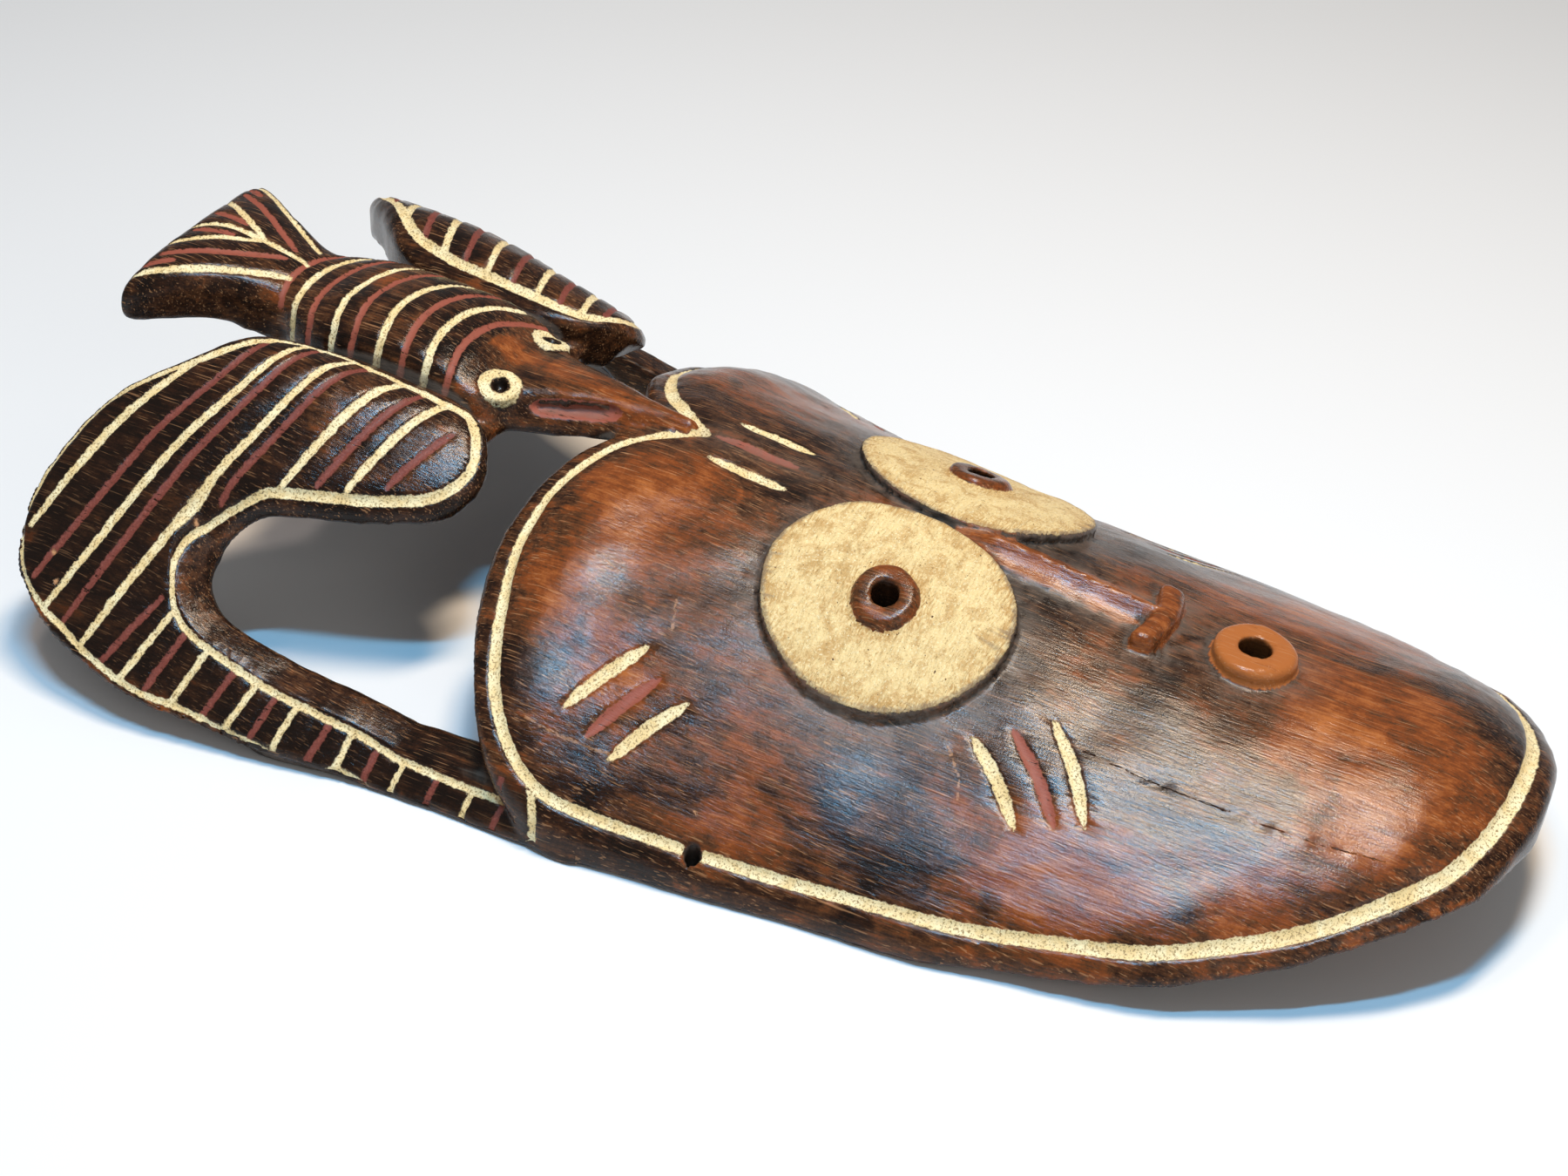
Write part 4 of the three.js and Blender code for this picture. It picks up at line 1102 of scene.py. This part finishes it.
def cream_paint(nodes, noise, ragged):
    """Share and colour of the cream paint in the lines and stripes."""
    share = nodes.ramp(nodes.plus(nodes.attribute("cream"), ragged), 0.2, -0.25)
    share = nodes.times(share, nodes.ramp(noise.specks, 0.24, 0.34))
    cream = nodes.blend(nodes.ramp(noise.mottle, 0.35, 0.65), CREAM, CREAM_PALE)
    return share, nodes.blend(nodes.ramp(noise.specks, 0.50, 0.36), cream, CREAM_DIRTY)


def disc_paint(nodes, noise, ragged):
    """Share and colour of the brushed cream paint on the eye discs, worn to ochre near the rim."""
    share = nodes.ramp(nodes.plus(nodes.attribute("disc"), (ragged, 0.6)), 0.2, -0.3)
    disc = nodes.blend(nodes.times(nodes.ramp(noise.mottle, 0.44, 0.66), 0.75), CREAM, OCHRE)
    disc = nodes.blend(nodes.ramp(noise.specks, 0.52, 0.72), disc, CREAM_PALE)
    near_rim = nodes.ramp(nodes.attribute("disc"), -7.0, -0.5)
    worn_rim = nodes.times(near_rim, nodes.ramp(noise.brushed, 0.42, 0.62))
    disc = nodes.blend(nodes.times(worn_rim, 0.9), disc, OCHRE)
    disc = nodes.blend(nodes.times(nodes.ramp(noise.brushed, 0.55, 0.68), 0.7), disc, OCHRE)
    disc = nodes.blend(nodes.ramp(noise.specks, 0.40, 0.30), disc, CREAM_DIRTY)
    return share, nodes.blend(nodes.ramp(noise.pits, 0.70, 0.76), disc, BROWN_WOOD)


def wood_material():
    """Stained wood with paint, dust, cracks, scratches and chips."""
    material = bpy.data.materials.new("carved_painted_wood")
    material.use_nodes = True
    nodes = Nodes(material)
    noise = wood_noises(nodes)
    ragged = nodes.times(nodes.minus(noise.wobble, 0.5), 1.5)
    ragged = nodes.plus(ragged, (nodes.minus(noise.specks, 0.5), 0.7))
    red_share, red = red_paint(nodes, noise, ragged)
    cream_share, cream = cream_paint(nodes, noise, ragged)
    disc_share, disc = disc_paint(nodes, noise, ragged)
    colour = nodes.blend(red_share, bare_wood(nodes, noise), red)
    colour = nodes.blend(cream_share, colour, cream)
    colour = nodes.blend(disc_share, colour, disc)

    # Dust in corners and round the raised parts, then bores painted black as shade, dark cracks, scratches
    # and chips.
    dusty = nodes.ramp(nodes.plus(nodes.attribute("closed"), (noise.mottle, 0.5)), 0.45, 0.95)
    dusty = nodes.times(dusty, 0.55)
    hazy = nodes.times(nodes.attribute("haze"), nodes.ramp(noise.mottle, 0.25, 0.60))
    dusty = nodes.largest(dusty, nodes.times(hazy, 0.6))
    split = nodes.ramp(nodes.plus(nodes.attribute("crack"), (ragged, 0.4)), 0.3, 0.05)
    scratched = nodes.ramp(nodes.plus(nodes.attribute("scratch"), ragged), 0.5, 0.1)
    chipped = nodes.ramp(nodes.plus(nodes.attribute("chip"), ragged), 0.2, -0.5)
    colour = nodes.blend(dusty, colour, DUST)
    # Painted shade: the bores and the pit of the bird's eye are painted black.
    colour = nodes.blend(nodes.ramp(nodes.attribute("bore_shade"), 0.5, -0.2), colour, BLACKENED_AND_SHADE)
    colour = nodes.blend(nodes.times(split, 0.8), colour, BLACKENED_AND_SHADE)
    colour = nodes.blend(nodes.times(scratched, 0.5), colour, RAW_WOOD)
    colour = nodes.blend(chipped, colour, RAW_WOOD)

    matt = nodes.largest(red_share, cream_share, disc_share, dusty, chipped)
    roughness = nodes.plus(nodes.times(noise.mottle, 0.18), (matt, 0.34), 0.10)
    brush_marks = nodes.times(noise.brushed, 0.5)
    height = nodes.plus(
        nodes.times(noise.fine_grain, 0.16),
        (noise.specks, 0.05),
        (cream_share, 0.16),
        (disc_share, brush_marks),
    )
    height = nodes.minus(height, nodes.times(split, 0.4))
    height = nodes.minus(height, nodes.times(chipped, 0.3))
    bump = nodes.add("ShaderNodeBump", {"Height": height, "Distance": 0.001, "Strength": 0.9})
    shader = material.node_tree.nodes["Principled BSDF"]
    nodes.set(shader.inputs["Base Color"], colour)
    nodes.set(shader.inputs["Roughness"], roughness)
    nodes.set(shader.inputs["Normal"], bump.outputs[0])
    shader.inputs["Specular IOR Level"].default_value = 0.27
    return material


def plain_material(name, colour, roughness):
    material = bpy.data.materials.new(name)
    material.use_nodes = True
    shader = material.node_tree.nodes["Principled BSDF"]
    shader.inputs["Base Color"].default_value = (*colour, 1)
    shader.inputs["Roughness"].default_value = roughness
    return material


def add_light(name, place, size, watts, colour, target=None, turn=0.0):
    """A soft rectangular light, in metres, facing its target, or straight down and turned by some degrees."""
    data = bpy.data.lights.new(name, "AREA")
    data.shape = "RECTANGLE"
    data.size, data.size_y = size
    data.energy = watts
    data.color = colour
    light = bpy.data.objects.new(name, data)
    light.location = place
    light.rotation_euler = (0, 0, radians(turn))
    if target:
        light.rotation_euler = (Vector(target) - Vector(place)).to_track_quat("-Z", "Y").to_euler()
    bpy.context.scene.collection.objects.link(light)


mask = make_mask()
mask.data.materials.append(wood_material())
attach(mask, "root")
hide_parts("mask")

# A pale floor just below the mask, in metres.
FLOOR_HALF = 4
FLOOR_BELOW = 0.0005
floor_corners = [(x * FLOOR_HALF, y * FLOOR_HALF, 0) for x, y in ((-1, -1), (1, -1), (1, 1), (-1, 1))]
floor_mesh = bpy.data.meshes.new("floor")
floor_mesh.from_pydata(floor_corners, [], [(0, 1, 2, 3)])
floor = bpy.data.objects.new("floor", floor_mesh)
floor.location.z = -FLOOR_BELOW
bpy.context.scene.collection.objects.link(floor)
floor.data.materials.append(plain_material("pale_floor", (0.86, 0.86, 0.85), 0.7))

world = bpy.data.worlds.new("studio")
world.use_nodes = True
world.node_tree.nodes["Background"].inputs["Color"].default_value = (0.95, 0.97, 1.0, 1)
world.node_tree.nodes["Background"].inputs["Strength"].default_value = 0.20
bpy.context.scene.world = world
# Two warm panels and a blue strip above give the photo's reflections; the fill lights the near side.
add_light("warm_panel", (0.00, -0.13, 1.22), (0.34, 0.14), 11.8, (1.0, 0.79, 0.58), turn=-25)
add_light("rose_panel", (-0.28, 0.18, 1.22), (0.16, 0.10), 1.6, (1.0, 0.82, 0.74), turn=-20)
add_light("cool_strip", (-0.35, -0.10, 1.22), (0.28, 0.05), 9.5, (0.20, 0.60, 1.0), turn=-51)
add_light("fill", (-1.3, -1.7, 1.3), (1.2, 1.2), 7, (1.0, 0.97, 0.93), target=(0, 0, 0.05))

# The camera that took the photo, found from the mask's own symmetry: place in metres, and its axes.
CAMERA_PLACE = (-0.6057, -0.2487, 0.4908)
CAMERA_RIGHT = (0.433, -0.8989, 0.0668)
CAMERA_UP = (0.4974, 0.3001, 0.814)
CAMERA_BACK = (-0.7517, -0.3192, 0.5771)
camera_data = bpy.data.cameras.new("camera")
camera_data.sensor_width = 36  # millimetres, as the lens
camera_data.lens = 59.9
camera_turn = Matrix((CAMERA_RIGHT, CAMERA_UP, CAMERA_BACK)).transposed().to_4x4()
camera = bpy.data.objects.new("camera", camera_data)
camera.matrix_world = Matrix.Translation(CAMERA_PLACE) @ camera_turn
bpy.context.scene.collection.objects.link(camera)
bpy.context.scene.camera = camera
bpy.context.scene.view_settings.view_transform = "Standard"
